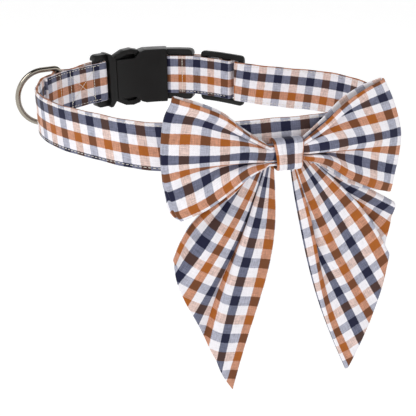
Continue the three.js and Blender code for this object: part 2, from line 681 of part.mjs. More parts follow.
// The knot: a band of cloth wrapped once round the gathered middle of the bow
function roundedRing(half, low, high, round) {
  const shape = new THREE.Path();
  shape.moveTo(-half + round, low);
  shape.lineTo(half - round, low);
  shape.quadraticCurveTo(half, low, half, low + round);
  shape.lineTo(half, high - round);
  shape.quadraticCurveTo(half, high, half - round, high);
  shape.lineTo(-half + round, high);
  shape.quadraticCurveTo(-half, high, -half, high - round);
  shape.lineTo(-half, low + round);
  shape.quadraticCurveTo(-half, low, -half + round, low);
  return shape.getPoints(4);
}

function knotBand() {
  const half = KNOT_HEIGHT / 2;
  const outline = new THREE.Shape(roundedRing(half, bandBack, bandFront, KNOT_ROUND));
  const inside = roundedRing(half - KNOT_WALL, bandBack + KNOT_WALL, bandFront - KNOT_WALL, KNOT_ROUND - KNOT_WALL);
  outline.holes.push(new THREE.Path(inside));
  const band = new THREE.ExtrudeGeometry(outline, { depth: KNOT_WIDTH, bevelEnabled: false });
  const corners = band.attributes.position;
  for (let i = 0; i < corners.count; i++) {
    const place = onBow(corners.getZ(i) - KNOT_WIDTH / 2, corners.getX(i), corners.getY(i));
    corners.setXYZ(i, place.x, place.y, place.z);
  }
  return facingOut(band.index ? band.toNonIndexed() : band);
}

const collar = new THREE.Group();
collar.add(
  named("strap", strap(), CHECK_COTTON),
  named("buckle_male", bent(buckleMale()), BLACK_PLASTIC),
  named("buckle_female", bent(buckleFemale()), BLACK_PLASTIC),
  named("slider", bent(slider()), BLACK_PLASTIC),
  named("d_ring", ring(), NICKEL),
  named("bow_wing_left", wing(LEFT_WING, -1), CHECK_COTTON),
  named("bow_wing_right", wing(RIGHT_WING, 1), CHECK_COTTON),
  named("bow_tail_left", tail(LEFT_TAIL, -1), CHECK_COTTON),
  named("bow_tail_right", tail(RIGHT_TAIL, 1), CHECK_COTTON),
  named("knot_band", knotBand(), CHECK_COTTON),
);

export default collar;
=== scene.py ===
"""Pet bow tie collar: a check cotton strap with a side-release buckle, a slider and a ring, and a bow with two tails.

Lengths are millimetres until a piece is placed, and meshes are in metres in the CAD's frame: the origin is the middle
of the neck opening at half the strap's width, +Z is up and +Y goes to the buckle. Three sets of coordinates are used:

- along the strap: "at" is the length from the loop's +X side, anticlockwise from above, "out" the distance outwards
  from the loop's line, and "up" the height;
- in the bow: "across" to the right, "rise" up and "out" from the strap, from the knot's middle;
- on cloth: lengthwise and crosswise in the weave, kept in each piece's UV map in metres.
"""

import math
from functools import partial
from types import SimpleNamespace

import bmesh
import bpy
import numpy as np
from mathutils import Matrix, Vector


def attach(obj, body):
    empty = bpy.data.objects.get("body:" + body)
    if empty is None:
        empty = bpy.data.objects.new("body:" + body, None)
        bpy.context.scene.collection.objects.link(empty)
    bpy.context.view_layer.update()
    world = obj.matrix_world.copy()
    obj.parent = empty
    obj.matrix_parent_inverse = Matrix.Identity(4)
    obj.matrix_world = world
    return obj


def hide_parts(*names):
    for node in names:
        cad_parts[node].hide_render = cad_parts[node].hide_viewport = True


bl_info = {
    "name": "Pet bow tie collar",
    "version": (1, 0, 0),
    "blender": (4, 5, 0),
    "location": "3D View > Sidebar > Collar",
    "description": "Builds a check cotton pet collar with a buckle, a ring and a bow with tails",
    "category": "Add Mesh",
}

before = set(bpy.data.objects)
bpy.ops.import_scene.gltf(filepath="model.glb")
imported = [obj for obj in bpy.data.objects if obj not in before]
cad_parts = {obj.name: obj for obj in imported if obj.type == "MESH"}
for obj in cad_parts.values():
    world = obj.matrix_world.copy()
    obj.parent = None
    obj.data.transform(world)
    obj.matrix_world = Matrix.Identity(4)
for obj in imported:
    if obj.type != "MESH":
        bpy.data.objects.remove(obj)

MM = 0.001
SEED = 7

# Clearance between pieces that touch on the real collar
SEAT = 0.3

# The neck loop as (turns, cosine, sine) waves, and the places of the buckle and the knot on it, the same as in the CAD
LOOP_WAVES = (
    (2, 0.143, -0.0882),
    (3, 0.0599, -0.0202),
    (4, 0.0514, -0.0056),
    (5, -0.0029, -0.0003),
    (6, 0.0017, 0.0002),
)
BUCKLE_PLACE = 0.3163
KNOT_PLACE = 0.822
KNOT_RISE = -4.0

# The strap's folds: the bend of a tight and of a soft turn, and the ends of its sewn parts from the buckle's end
TIGHT = 1.6
SOFT = 20
FOLD_BACK = 44.5
RING_FROM_BUCKLE = 26.5

# The buckle and the slider
FEMALE_FRAME = 16.6
MALE_FRAME = 8.8
MALE_BODY = 5.0
BAR_THICK = 3.4
RAIL = 3.9
TONGUE = 0.8
CROWN = 0.9
SLIDER_GAP = 5.6
SLIDER_END_BAR = 4
SLIDER_SLOT = 7.2
SLIDER_MIDDLE_BAR = 5.2
SLIDER_HALF = 16.3

# The ring's straight bar, its legs, its bow and the turn it rests at
RING_HALF = 16.4
RING_LEG = 10.7
RING_BEND = 3.4
RING_HEADING = 209

# Points across and along the cloth of a wing and of a tail, and along the part of a wing inside the knot and its fold
WING_GRID = (110, 72)
TAIL_GRID = (120, 84)
KNOT_STEPS = 8
FOLD_STEPS = 17

# A wing's thread lines, from its upper edge to its lower edge: the line's place across the cloth in half checks, its
# outer end, its rise at RISE_AT and its fold before the wing's face at FOLD_AT, which are shares of its length
RISE_AT = (0.0, 0.25, 0.5, 0.75, 1.0)
FOLD_AT = (0.0, 0.22, 0.5, 1.0)
LEFT_WING = [
    (-0.95, 56.5, (4.6, 12.5, 22.0, 27.8, 32.0), (0.0, -0.6, -0.4, 0.0)),
    (-0.75, 56.9, (4.3, 11.6, 20.8, 26.4, 30.2), (0.7, 0.6, 0.3, 0.1)),
    (0.0, 60.0, (3.7, 10.4, 16.5, 21.4, 23.9), (-0.8, -2.6, -1.5, 0.0)),
    (1.0, 61.7, (2.9, 7.8, 10.4, 13.0, 13.9), (0.0, 0.2, -0.2, 0.1)),
    (1.75, 62.5, (2.1, 4.8, 4.7, 5.3, 6.0), (1.0, 2.3, 1.4, 0.3)),
    (2.25, 62.8, (-2.1, 0.9, 1.7, 1.5, 1.0), (0.9, 2.3, 1.5, 0.4)),
    (3.0, 62.2, (-2.8, -1.4, -1.1, -2.2, -5.7), (-0.4, -0.9, -0.5, 0.2)),
    (3.5, 61.2, (-3.2, -2.4, -2.1, -5.6, -10.3), (-1.0, -3.1, -2.2, -0.1)),
    (4.0, 59.5, (-3.6, -3.3, -4.6, -10.2, -15.3), (-0.6, -1.7, -1.2, 0.0)),
    (5.0, 56.2, (-4.2, -5.2, -12.7, -20.2, -25.8), (0.8, 2.2, 1.3, 0.3)),
    (5.4, 54.6, (-4.7, -8.8, -16.2, -23.6, -28.8), (0.2, 0.5, 0.3, 0.0)),
]
RIGHT_WING = [
    (-0.86, 50.2, (5.4, 13.9, 23.6, 29.4, 32.8), (0.0, -0.6, -0.4, 0.0)),
    (-0.75, 50.7, (5.1, 12.9, 22.4, 28.6, 31.9), (0.6, 0.5, 0.3, 0.1)),
    (0.0, 54.4, (4.7, 13.2, 19.8, 23.0, 25.3), (-0.8, -2.4, -1.6, 0.0)),
    (1.0, 58.3, (4.3, 9.8, 13.0, 14.7, 16.2), (0.0, -0.4, -0.5, 0.0)),
    (1.75, 61.1, (3.9, 6.4, 7.1, 7.7, 8.3), (1.0, 2.4, 1.7, 0.4)),
    (2.25, 62.2, (0.4, 2.0, 3.4, 3.7, 3.6), (1.0, 2.4, 1.7, 0.4)),
    (3.0, 62.4, (-0.6, -0.2, -0.3, -1.7, -4.1), (-0.4, -1.2, -0.6, 0.1)),
    (3.5, 62.1, (-1.4, -1.7, -1.0, -5.0, -9.4), (-1.0, -3.0, -2.0, -0.1)),
    (4.0, 61.1, (-1.9, -2.3, -6.0, -10.3, -14.7), (-0.5, -1.4, -0.8, 0.0)),
    (5.0, 59.6, (-2.5, -5.1, -13.1, -19.4, -24.8), (0.8, 1.9, 1.2, 0.3)),
    (5.15, 59.4, (-3.2, -6.6, -14.8, -21.4, -26.4), (0.2, 0.6, 0.4, 0.1)),
]

# A tail's thread lines, from the edge by the middle to the outer edge: the line's place across the cloth, its gathered
# end behind the knot, its end on the hem, its (bow, sway) sideways and its depth before the tail's face at TAIL_FOLD_AT
TAIL_FOLD_AT = (0.0, 0.3, 0.6, 1.0)
LEFT_TAIL = [
    (-0.25, (4.2, -3.0), (28.6, -129.0), (7.8, 1.9), (0, 0.4, 0.6, 0.4)),
    (0.0, (4.6, -2.0), (30.4, -126.0), (6.4, 0.9), (0, 1.2, 1.2, 0.6)),
    (1.0, (5.2, -1.0), (36.2, -113.5), (0.2, 1.2), (0, 2.8, 3.0, 1.8)),
    (1.25, (5.4, -0.8), (37.4, -109.5), (-0.9, 0.9), (0, 2.8, 3.2, 2.0)),
    (1.6, (5.5, -0.5), (39.8, -104.0), (-1.2, 0.8), (0, 1.8, 2.6, 1.2)),
    (2.0, (5.7, -0.1), (42.0, -98.0), (0.8, 1.8), (0, -0.6, -1.2, -0.4)),
    (2.5, (6.0, 0.4), (44.6, -91.0), (3.4, 1.0), (0, -1.4, -1.6, 0.4)),
    (3.0, (6.4, 1.0), (47.4, -84.4), (4.8, 0.3), (0, -0.2, 0.4, 1.4)),
    (4.0, (7.0, 2.0), (52.4, -73.5), (3.9, 1.0), (0, 0.5, 1.0, 1.2)),
    (5.0, (7.6, 3.0), (56.0, -61.5), (1.4, -0.4), (0, -0.2, 0.0, 0.2)),
    (5.45, (8.0, 3.6), (56.4, -56.5), (1.2, 2.4), (0, -0.9, -1.4, -0.6)),
    (5.7, (8.3, 4.2), (56.6, -53.6), (0.9, 3.2), (0, 0.2, 0.4, 1.0)),
    (6.1, (8.5, 4.8), (56.9, -51.6), (0.6, 3.6), (0, 0.0, 0.2, 0.6)),
    (6.35, (8.6, 5.0), (56.7, -51.0), (0.5, 3.6), (0, -0.8, -1.0, -0.8)),
]
RIGHT_TAIL = [
    (-0.8, (4.6, -3.0), (38.6, -129.5), (5.2, -0.3), (0, 1.8, 0.8, 0.0)),
    (-0.5, (4.8, -2.6), (39.0, -129.0), (3.8, -1.0), (0, 2.2, 1.8, 0.8)),
    (-0.2, (4.9, -2.2), (39.8, -127.4), (2.7, -1.9), (0, 2.6, 2.2, 1.0)),
    (0.1, (5.0, -2.0), (41.2, -124.6), (2.2, -1.9), (0, 2.6, 1.6, 1.0)),
    (0.45, (5.2, -1.6), (43.6, -120.0), (3.4, -0.4), (0, -0.8, 0.6, 0.8)),
    (1.0, (5.4, -1.0), (47.2, -112.5), (5.2, 1.4), (0, -1.2, 0.2, 0.8)),
    (2.0, (5.8, 0.0), (53.2, -101.0), (2.5, 0.0), (0, 1.4, 1.0, 0.2)),
    (3.0, (6.3, 1.0), (57.8, -87.0), (-1.0, -0.2), (0, 0.6, 0.4, 0.4)),
    (4.0, (6.8, 2.0), (60.6, -72.5), (-4.2, 0.5), (0, 1.4, 1.8, 1.6)),
    (4.4, (7.0, 2.3), (61.6, -64.0), (-4.6, 0.7), (0, 1.6, 2.4, 2.6)),
    (4.8, (7.0, 2.3), (61.4, -63.0), (-3.6, 0.7), (0, 0.0, -0.6, -0.4)),
    (5.6, (7.1, 2.4), (61.8, -58.0), (-1.6, 0.9), (0, -1.0, -2.4, -2.2)),
    (6.0, (7.2, 2.6), (63.0, -50.0), (2.2, 1.0), (0, -0.6, -1.6, -1.2)),
    (6.7, (7.5, 3.0), (64.2, -43.0), (4.4, 0.4), (0, -1.0, -1.8, -1.0)),
    (7.05, (7.8, 3.4), (64.8, -40.0), (4.0, 0.2), (0, -0.6, -0.8, 0.2)),
    (7.4, (8.2, 4.0), (65.0, -36.6), (3.6, 1.0), (0, 0.4, 0.6, 1.2)),
    (7.6, (8.3, 4.3), (64.8, -35.6), (3.2, 1.0), (0, -0.4, -0.4, 0.2)),
]


# Settings


def length(name, description, millimetres):
    return bpy.props.FloatProperty(
        name=name, description=description, default=millimetres * MM, unit="LENGTH", precision=5
    )


def linear(hex_colour):
    """Turns a colour such as #8c5a20 into Blender's linear red, green and blue."""
    shares = [int(hex_colour[i : i + 2], 16) / 255 for i in (1, 3, 5)]
    return [s / 12.92 if s <= 0.04045 else ((s + 0.055) / 1.055) ** 2.4 for s in shares]


def colour(name, description, hex_colour):
    return bpy.props.FloatVectorProperty(
        name=name, description=description, default=linear(hex_colour), subtype="COLOR", size=3, min=0, max=1
    )


class CollarSizes(bpy.types.PropertyGroup):
    loop_radius: length("Loop radius", "Mean radius of the neck loop", 79.02)
    strap_width: length("Strap width", "Width of the strap", 25)
    strap_thick: length("Strap thickness", "Thickness of the covered webbing", 2)
    check: length("Check", "Distance from one navy stripe to the next", 20.7)
    thread: length("Thread", "Distance between two neighbouring threads of the weave", 0.42)
    stitch_pitch: length("Stitch pitch", "Distance between two stitches", 2.5)
    stitch_inset: length("Stitch inset", "Distance of the edge stitching from the strap's edge", 1.7)
    cloth_thick: length("Bow cloth", "Thickness of the bow's doubled cotton", 1.1)
    housing_height: length("Housing height", "Height of the buckle's housing", 35)
    buckle_length: length("Buckle length", "Length of the fastened buckle", 66)
    slider_length: length("Slider length", "Length of the slider", 32)
    ring_wire: length("Ring wire", "Diameter of the ring's wire", 3.2)


class CollarColours(bpy.types.PropertyGroup):
    white: colour("White", "White threads both ways", "#f1eef3")
    navy: colour("Navy", "Navy threads both ways", "#1b1d38")
    rust: colour("Rust", "Rust threads both ways", "#a65d22")
    navy_row: colour("Navy row", "Lengthwise navy threads over white", "#6a6d82")
    navy_column: colour("Navy column", "Crosswise navy threads over white", "#acadbc")
    rust_row: colour("Rust row", "Lengthwise rust threads over white", "#c38c72")
    rust_column: colour("Rust column", "Crosswise rust threads over white", "#d9bfb7")
    navy_on_rust: colour("Navy on rust", "Crosswise navy threads over a rust row", "#734428")
    rust_on_navy: colour("Rust on navy", "Crosswise rust threads over a navy row", "#49332f")
    plastic: colour("Plastic", "Black moulded plastic", "#070808")
    nickel: colour("Nickel", "Plated ring", "#a39c90")
    cream: colour("Sewing thread", "Stitches", "#f0eadf")


# Lines


def unit(ways):
    return ways / np.linalg.norm(ways, axis=-1, keepdims=True)


def run(points, axis=0):
    """The length from the first point to each point along an axis, as the sum of the steps between them."""
    steps = np.linalg.norm(np.diff(points, axis=axis), axis=-1)
    return np.insert(np.cumsum(steps, axis=axis), 0, 0, axis=axis)


def smooth(places, values, wanted):
    """A curve through values at places: on each stretch, the cubic with the central slopes at its two ends."""
    places = np.asarray(places, float)
    values = np.asarray(values, float)
    slopes = np.gradient(values, places, axis=0)
    low = np.clip(np.searchsorted(places, wanted, side="right") - 1, 0, len(places) - 2)
    widen = (...,) + (None,) * (values.ndim - 1)
    gap = (places[low + 1] - places[low])[widen]
    t = (wanted - places[low])[widen] / gap
    return (
        values[low] * (2 * t**3 - 3 * t**2 + 1)
        + slopes[low] * gap * (t**3 - 2 * t**2 + t)
        + values[low + 1] * (3 * t**2 - 2 * t**3)
        + slopes[low + 1] * gap * (t**3 - t**2)
    )


def turned(start, corner, end, shares):
    """Points of the parabola from start to end whose sides meet in the corner: (1-s)^2 a + 2 s (1-s) c + s^2 b."""
    return [(1 - s) ** 2 * start + 2 * s * (1 - s) * corner + s**2 * end for s in shares]


def rounded(corners, steps=5):
    """A closed outline of (at, up, radius) corners, each turned by a parabola that starts radius / tan before it."""
    outline = []
    for k, (at, up, radius) in enumerate(corners):
        here = np.array([at, up], float)
        before = unit(np.array(corners[k - 1][:2], float) - here)
        after = unit(np.array(corners[(k + 1) % len(corners)][:2], float) - here)
        half = math.acos(np.clip(before @ after, -1, 1)) / 2
        reach = radius / math.tan(half)
        shares = np.linspace(0, 1, steps + 1) if radius else [0]
        outline.extend(map(tuple, turned(here + before * reach, here, here + after * reach, shares)))
    return outline


def eased(corners, step):
    """An open line of points about a step apart along (at, out, radius) corners, each turned as in rounded, with no
    turn past 0.49 of its shorter side."""
    flat = np.array(corners, float)[:, :2]
    gaps = np.linalg.norm(np.diff(flat, axis=0), axis=1)
    ways = unit(np.diff(flat, axis=0))
    reach = np.zeros(len(flat))
    for k in range(1, len(flat) - 1):
        half = math.acos(np.clip(-(ways[k - 1] @ ways[k]), -1, 1)) / 2
        reach[k] = min(corners[k][2] / math.tan(half), 0.49 * gaps[k - 1], 0.49 * gaps[k])
    points = [flat[0]]
    for k in range(1, len(flat)):
        way, here = ways[k - 1], flat[k]
        start, end = flat[k - 1] + way * reach[k - 1], here - way * reach[k]
        count = max(2, int(np.linalg.norm(end - start) / step) + 1)
        points.extend(start + (end - start) * s for s in np.linspace(0, 1, count))
        if reach[k]:
            points.extend(turned(end, here, here + ways[k] * reach[k], np.linspace(0, 1, 12)[1:-1]))
    spaced = points[:1]
    for point in points[1:]:
        if np.linalg.norm(point - spaced[-1]) > 0.05:
            spaced.append(point)
    return np.array(spaced)


class Loop:
    """The neck loop: radius = R (1 + sum of cosine cos(n angle) + sine sin(n angle)), measured along its line."""

    def __init__(self, radius):
        angle = np.linspace(0, 2 * math.pi, 7201)
        share = 1 + sum(cosine * np.cos(n * angle) + sine * np.sin(n * angle) for n, cosine, sine in LOOP_WAVES)
        self.line = radius * share[:, None] * np.stack([np.cos(angle), np.sin(angle)], 1)
        self.far = run(self.line)
        self.length = self.far[-1]
        along = np.gradient(self.line, self.far, axis=0)
        along[0] = along[-1] = (along[0] + along[-1]) / 2
        self.along = unit(along)

    def frame(self, at):
        """The loop's point there, its way on and its way outwards."""
        at = np.mod(at, self.length)
        point, along = (
            np.stack([np.interp(at, self.far, line[:, k]) for k in (0, 1)], -1) for line in (self.line, self.along)
        )
        return point, along, np.stack([along[..., 1], -along[..., 0]], -1)

    def place(self, at, out, up):
        """The place in metres: (x, y) = the loop's point + out * its way outwards, and z = up."""
        at, out, up = np.broadcast_arrays(at, out, up)
        point, _, outwards = self.frame(at)
        return np.concatenate([point + outwards * out[..., None], up[..., None]], -1) * MM


class Bow:
    """The bow's frame: place = knot + across * along + out * outwards + rise * up, in metres."""

    def __init__(self, loop):
        point, along, outwards = loop.frame(KNOT_PLACE * loop.length)
        self.knot = np.array([*point, KNOT_RISE])
        self.axes = np.array([[*along, 0], [0, 0, 1], [*outwards, 0]])

    def place(self, across, rise, out):
        return (self.knot + np.stack(np.broadcast_arrays(across, rise, out), -1) @ self.axes) * MM


# Surfaces and solids


def corner_places(mesh):
    places = np.zeros(len(mesh.vertices) * 3)
    mesh.vertices.foreach_get("co", places)
    return places.reshape(-1, 3)


def signed_volume(mesh):
    """The sum of a . (b x c) / 6 over the mesh's triangles, which is below 0 where they face inwards."""
    mesh.calc_loop_triangles()
    corners = np.zeros(len(mesh.loop_triangles) * 3, np.int32)
    mesh.loop_triangles.foreach_get("vertices", corners)
    a, b, c = corner_places(mesh)[corners.reshape(-1, 3)].transpose(1, 0, 2)
    return float(np.sum(a * np.cross(b, c))) / 6


def add_piece(name, mesh, material, body="collar"):
    """A smooth object of that mesh, facing outwards, that moves with that body."""
    mesh.shade_smooth()
    mesh.materials.append(material)
    if signed_volume(mesh) < 0:
        mesh.flip_normals()
    piece = bpy.data.objects.new(name, mesh)
    bpy.context.collection.objects.link(piece)
    if body:
        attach(piece, body)
    return piece


def add_surface(name, points, faces, material, body="collar", weave=None):
    """An object from points and faces, with weave as one UV pair for each corner of each face."""
    mesh = bpy.data.meshes.new(name)
    mesh.from_pydata(points.tolist(), [], [list(f) for f in faces])
    if weave is not None:
        layer = mesh.uv_layers.new(name="cloth")
        layer.data.foreach_set("uv", np.asarray(weave, np.float32).ravel())
    mesh.validate()
    mesh.update()
    return add_piece(name, mesh, material, body)


def tube_faces(rings, around, closed=False):
    """Quads between rings of points, each ring closed on itself, and the last ring joined to the first if closed."""
    i = np.arange(rings if closed else rings - 1)[:, None]
    j = np.arange(around)[None, :]
    here, there = i * around, (i + 1) % rings * around
    after = (j + 1) % around
    return np.stack([here + j, here + after, there + after, there + j], -1).reshape(-1, 4)


def wall(name, centre, cloth, thick, material, ends=(True, True), pinch=1.0):
    """A sheet of one thickness about the grid centre[i, j], rounded at its edges, with its two ends cut or rounded.

    Its faces are centre + w n and centre - w n, with n the grid's normal and w half the thickness, or pinch times that
    where it starts. Past each edge the grid runs on by r sin(a) while w falls as r cos(a), which rounds the edge.
    cloth[i, j] is the place in the weave.
    """
    half = thick / 2
    rim = np.radians([90, 65, 35])[:, None, None]
    share = np.linspace(0, 1, centre.shape[1])[:, None]
    wide = np.broadcast_to(half * (pinch + (1 - pinch) * np.clip(share * 4, 0, 1)), (*centre.shape[:2], 1))
    layers = [centre, cloth, wide]
    for axis, way, soft in ((0, 1, True), (0, -1, True), (1, 1, ends[0]), (1, -1, ends[1])):
        centre, cloth, wide = (np.moveaxis(layer, axis, 0)[::way] for layer in layers)
        reach = half * np.sin(rim) if soft else np.full((1, 1, 1), half * 0.02)
        keep = np.cos(rim) if soft else np.zeros((1, 1, 1))
        size = np.linalg.norm(centre[0] - centre[1], axis=-1, keepdims=True)
        past = [grid[0] + (grid[0] - grid[1]) / size * reach for grid in (centre, cloth)] + [wide[0] * keep]
        layers = [np.concatenate(pair)[::way] for pair in zip(past, (centre, cloth, wide))]
        layers = [np.moveaxis(layer, 0, axis) for layer in layers]
    centre, cloth, wide = layers
    normal = np.cross(np.gradient(centre, axis=1), np.gradient(centre, axis=0))
    normal /= np.maximum(np.linalg.norm(normal, axis=-1, keepdims=True), 1e-12)
    rows, columns = centre.shape[:2]
    front = np.arange(rows * columns).reshape(rows, columns)
    back = front + rows * columns
    for edge in (np.s_[[0, -1], :], np.s_[:, [0, -1]]):
        wide[edge] = 0
        back[edge] = front[edge]
    points = np.concatenate([(centre + normal * wide).reshape(-1, 3), (centre - normal * wide).reshape(-1, 3)])

    def quads(index):
        return np.stack([index[:-1, :-1], index[:-1, 1:], index[1:, 1:], index[1:, :-1]], -1).reshape(-1, 4)

    faces = np.concatenate([quads(front), quads(back)[:, ::-1]])
    weave = cloth.reshape(-1, 2)[faces % (rows * columns)]
    used, faces = np.unique(faces, return_inverse=True)
    return add_surface(name, points[used], faces.reshape(-1, 4), material, weave=weave)


def block(at, out, up):
    """Corners and faces of a box in strap lengths."""
    points = np.array([(a, o, u) for a in at for o in out for u in up], float)
    return points, [(0, 1, 3, 2), (4, 6, 7, 5), (0, 4, 5, 1), (2, 3, 7, 6), (0, 2, 6, 4), (1, 5, 7, 3)]


def plate(outline, out):
    """Corners and faces of a plate with that outline of (at, up) places, from out[0] to out[1]."""
    count = len(outline)
    points = np.array([(a, o, u) for o in out for a, u in outline], float)
    sides = [(k, (k + 1) % count, count + (k + 1) % count, count + k) for k in range(count)]
    return points, [tuple(range(count))[::-1], tuple(range(count, 2 * count)), *sides]


def slab(corners, out):
    """A plate that is the same above and below its middle, from its (at, up, radius) corners below it."""
    return plate(rounded(corners + [(at, -up, radius) for at, up, radius in reversed(corners)]), out)


def scratch(points, faces):
    """A plain object from corners and faces, for booleans."""
    mesh = bpy.data.meshes.new("scratch")
    mesh.from_pydata(points.tolist(), [], faces)
    work = bmesh.new()
    work.from_mesh(mesh)
    bmesh.ops.recalc_face_normals(work, faces=work.faces)
    work.to_mesh(mesh)
    work.free()
    shape = bpy.data.objects.new("scratch", mesh)
    bpy.context.collection.objects.link(shape)
    return shape


def modified(shape, kind, **settings):
    """Adds a modifier with its settings and applies it."""
    modifier = shape.modifiers.new("modifier", kind)
    for name, value in settings.items():
        setattr(modifier, name, value)
    view = bpy.context.evaluated_depsgraph_get()
    mesh = bpy.data.meshes.new_from_object(shape.evaluated_get(view))
    shape.modifiers.clear()
    shape.data = mesh


def combined(shape, others, operation):
    for solid in others:
        tool = scratch(*solid)
        modified(shape, "BOOLEAN", operation=operation, object=tool, solver="EXACT")
        bpy.data.objects.remove(tool)


def moulded(name, shape, loop, material, edge, crown, half):
    """Rounds a plain shape's edges, slices it finely, crowns its outer face by crown (up / half)^2 and bends it
    round the loop."""
    sharp, slices = math.radians(40), ((0, 2.5), (2, 3.5))
    modified(shape, "BEVEL", width=edge, segments=3, limit_method="ANGLE", angle_limit=sharp, use_clamp_overlap=True)
    places = corner_places(shape.data)
    low, high = places.min(0), places.max(0)
    work = bmesh.new()
    work.from_mesh(shape.data)
    bpy.data.objects.remove(shape)
    for axis, step in slices:
        normal = np.eye(3)[axis]
        for place in np.arange(low[axis] + step / 2, high[axis], step):
            everything = work.verts[:] + work.edges[:] + work.faces[:]
            bmesh.ops.bisect_plane(work, geom=everything, plane_co=normal * place, plane_no=normal, dist=1e-5)
    bmesh.ops.triangulate(work, faces=[f for f in work.faces if len(f.verts) > 4])
    bmesh.ops.recalc_face_normals(work, faces=work.faces)
    mesh = bpy.data.meshes.new(name)
    work.to_mesh(mesh)
    work.free()
    at, out, up = corner_places(mesh).T
    out = out - crown * (up / half) ** 2 * np.clip((out - low[1]) / (high[1] - low[1]), 0, 1)
    mesh.vertices.foreach_set("co", loop.place(at, out, up).ravel())
    mesh.update()
    piece = add_piece(name, mesh, material)
    mesh.set_sharp_from_angle(angle=math.radians(50))
    return piece


# Materials


def feed(node, values):
    """Sets or links a node's inputs, given by name or number, and leaves those that are None."""
    for name, value in values.items():
        socket = node.inputs[name]
        if isinstance(value, bpy.types.NodeSocket):
            node.id_data.links.new(value, socket)
        elif value is not None:
            socket.default_value = (*value, 1) if socket.type == "RGBA" else value


def add_node(tree, kind, *values, out=0, **settings):
    """Adds a node, sets its settings, feeds the inputs that these leave in use in order, and gives one output."""
    node = tree.nodes.new("ShaderNode" + kind)
    for name, value in settings.items():
        setattr(node, name, value)
    places = [k for k, socket in enumerate(node.inputs) if socket.enabled]
    feed(node, dict(zip(places, values)))
    return [socket for socket in node.outputs if socket.enabled][out]


def new_material(name):
    """A material, what adds a node to it, and its shader."""
    material = bpy.data.materials.new(name)
    material.use_nodes = True
    tree = material.node_tree
    return material, partial(add_node, tree), tree.nodes["Principled BSDF"]


def stripe(node, place, period, middle, width, soft):
    """1 on a stripe of that width about middle, again each period, with an edge that fades over soft."""
    moved = node("Math", place, period / 2 - middle, operation="ADD")
    inside = node("Math", moved, period, 0.0, operation="WRAP")
    far = node("Math", node("Math", inside, period / 2, operation="SUBTRACT"), operation="ABSOLUTE")
    return node("MapRange", far, width / 2 - soft, width / 2 + soft, 1.0, 0.0)


def check_cotton(name, size, colours, scale=1.0, shift=0.0):
    """Woven cotton: matt and a little fuzzy, with lengthwise rows and crosswise columns of navy and rust on white,
    streaks where dyed threads cross white ones, the relief of a plain weave, and painted shade that darkens the colour
    between the weave's crossings. The real thread is half as wide as this one, which is as coarse as it needs to be to
    show."""
    material, node, shader = new_material(name)
    weave = node("UVMap", uv_map="cloth")
    length_on, width_on = (node("SeparateXYZ", weave, out=k) for k in (0, 1))

    # Stripes whose edges stray by up to a quarter of a millimetre
    stray = node("TexNoise", weave, 900.0, 2.0)
    stray = node("Math", stray, 0.5 * MM, -0.25 * MM, operation="MULTIPLY_ADD")
    along = node("Math", length_on, scale, shift * MM, operation="MULTIPLY_ADD")
    check, soft = size.check * MM, 0.16 * MM

    def stripes(place):
        moved = node("Math", place, stray, operation="ADD")
        return [stripe(node, moved, check, middle, check / 4, soft) for middle in (0, check / 2)]

    navy_column, rust_column = stripes(along)
    navy_row, rust_row = stripes(width_on)

    def over(plain, navy, rust, navy_on=navy_column, rust_on=rust_column):
        plain = node("Mix", navy_on, plain, navy, data_type="RGBA")
        return node("Mix", rust_on, plain, rust, data_type="RGBA")

    white = over(colours.white, colours.navy_column, colours.rust_column)
    navy = over(colours.navy_row, colours.navy, colours.rust_on_navy)
    rust = over(colours.rust_row, colours.navy_on_rust, colours.rust)
    dyed = over(white, navy, rust, navy_row, rust_row)

    # Streaks along the threads both ways, strongest where only one way is dyed
    rows_on, columns_on = (
        node("Math", *pair, operation="MAXIMUM") for pair in ((navy_row, rust_row), (navy_column, rust_column))
    )
    half_dyed = node("Math", node("Math", rows_on, columns_on, operation="SUBTRACT"), operation="ABSOLUTE")
    lengthwise, crosswise = (
        node("TexNoise", node("VectorMath", weave, stretch, operation="MULTIPLY"), 1.0, 2.0)
        for stretch in ((220.0, 1900.0, 1.0), (1900.0, 220.0, 1.0))
    )
    streaks = node("Math", node("Math", lengthwise, crosswise, operation="ADD"), 1.0, operation="SUBTRACT")
    strength = node("Math", half_dyed, 0.75, 0.22, operation="MULTIPLY_ADD")
    streaks = node("Math", streaks, strength, operation="MULTIPLY")

    # Crossings that stand up in turn, slubs and a little unevenness
    turn = math.pi / (size.thread * MM)
    waves = [
        node("Math", node("Math", place, turn, operation="MULTIPLY"), operation="SINE")
        for place in (length_on, width_on)
    ]
    crossings = node("Math", *waves, operation="MULTIPLY")
    slub, patchy = (node("TexNoise", weave, scale, detail) for scale, detail in ((260.0, 4.0), (45.0, 3.0)))
    bright = 0.86
    # Painted shade: the crossings lighten the colour where the threads stand up and darken it between them
    for part, share in ((crossings, 0.07), (slub, 0.16), (patchy, 0.12), (streaks, 1.0)):
        bright = node("Math", part, share, bright, operation="MULTIPLY_ADD")
    height = node("Math", crossings, 0.5, slub, operation="MULTIPLY_ADD")
    feed(
        shader,
        {
            "Base Color": node("HueSaturation", None, None, bright, None, dyed),
            "Normal": node("Bump", 0.35, 0.12 * MM, None, height),
            "Roughness": 0.88,
            "Specular IOR Level": 0.25,
            "Sheen Weight": 0.15,
            "Sheen Roughness": 0.45,
        },
    )
    return material


def grained(name, colour, tones, wear_and_painted_shade, grain, relief, dull=None, **sockets):
    """A material in Object coordinates: a slow noise varies its colour between two tones and its roughness between
    two values, and a fine noise is its relief. Each noise is (scale, detail), and the relief (strength, depth)."""
    material, node, shader = new_material(name)
    place = node("TexCoord", out=3)
    slow, fine = (node("TexNoise", place, scale, detail) for scale, detail in (wear_and_painted_shade, grain))
    dark, light = ([min(1, c * tone) for c in colour] for tone in tones)
    values = {
        "Base Color": node("Mix", slow, dark, light, data_type="RGBA"),
        "Normal": node("Bump", relief[0], relief[1] * MM, None, fine),
    }
    if dull:
        values["Roughness"] = node("MapRange", slow, 0.3, 0.7, *dull)
    feed(shader, {**values, **sockets})
    return material


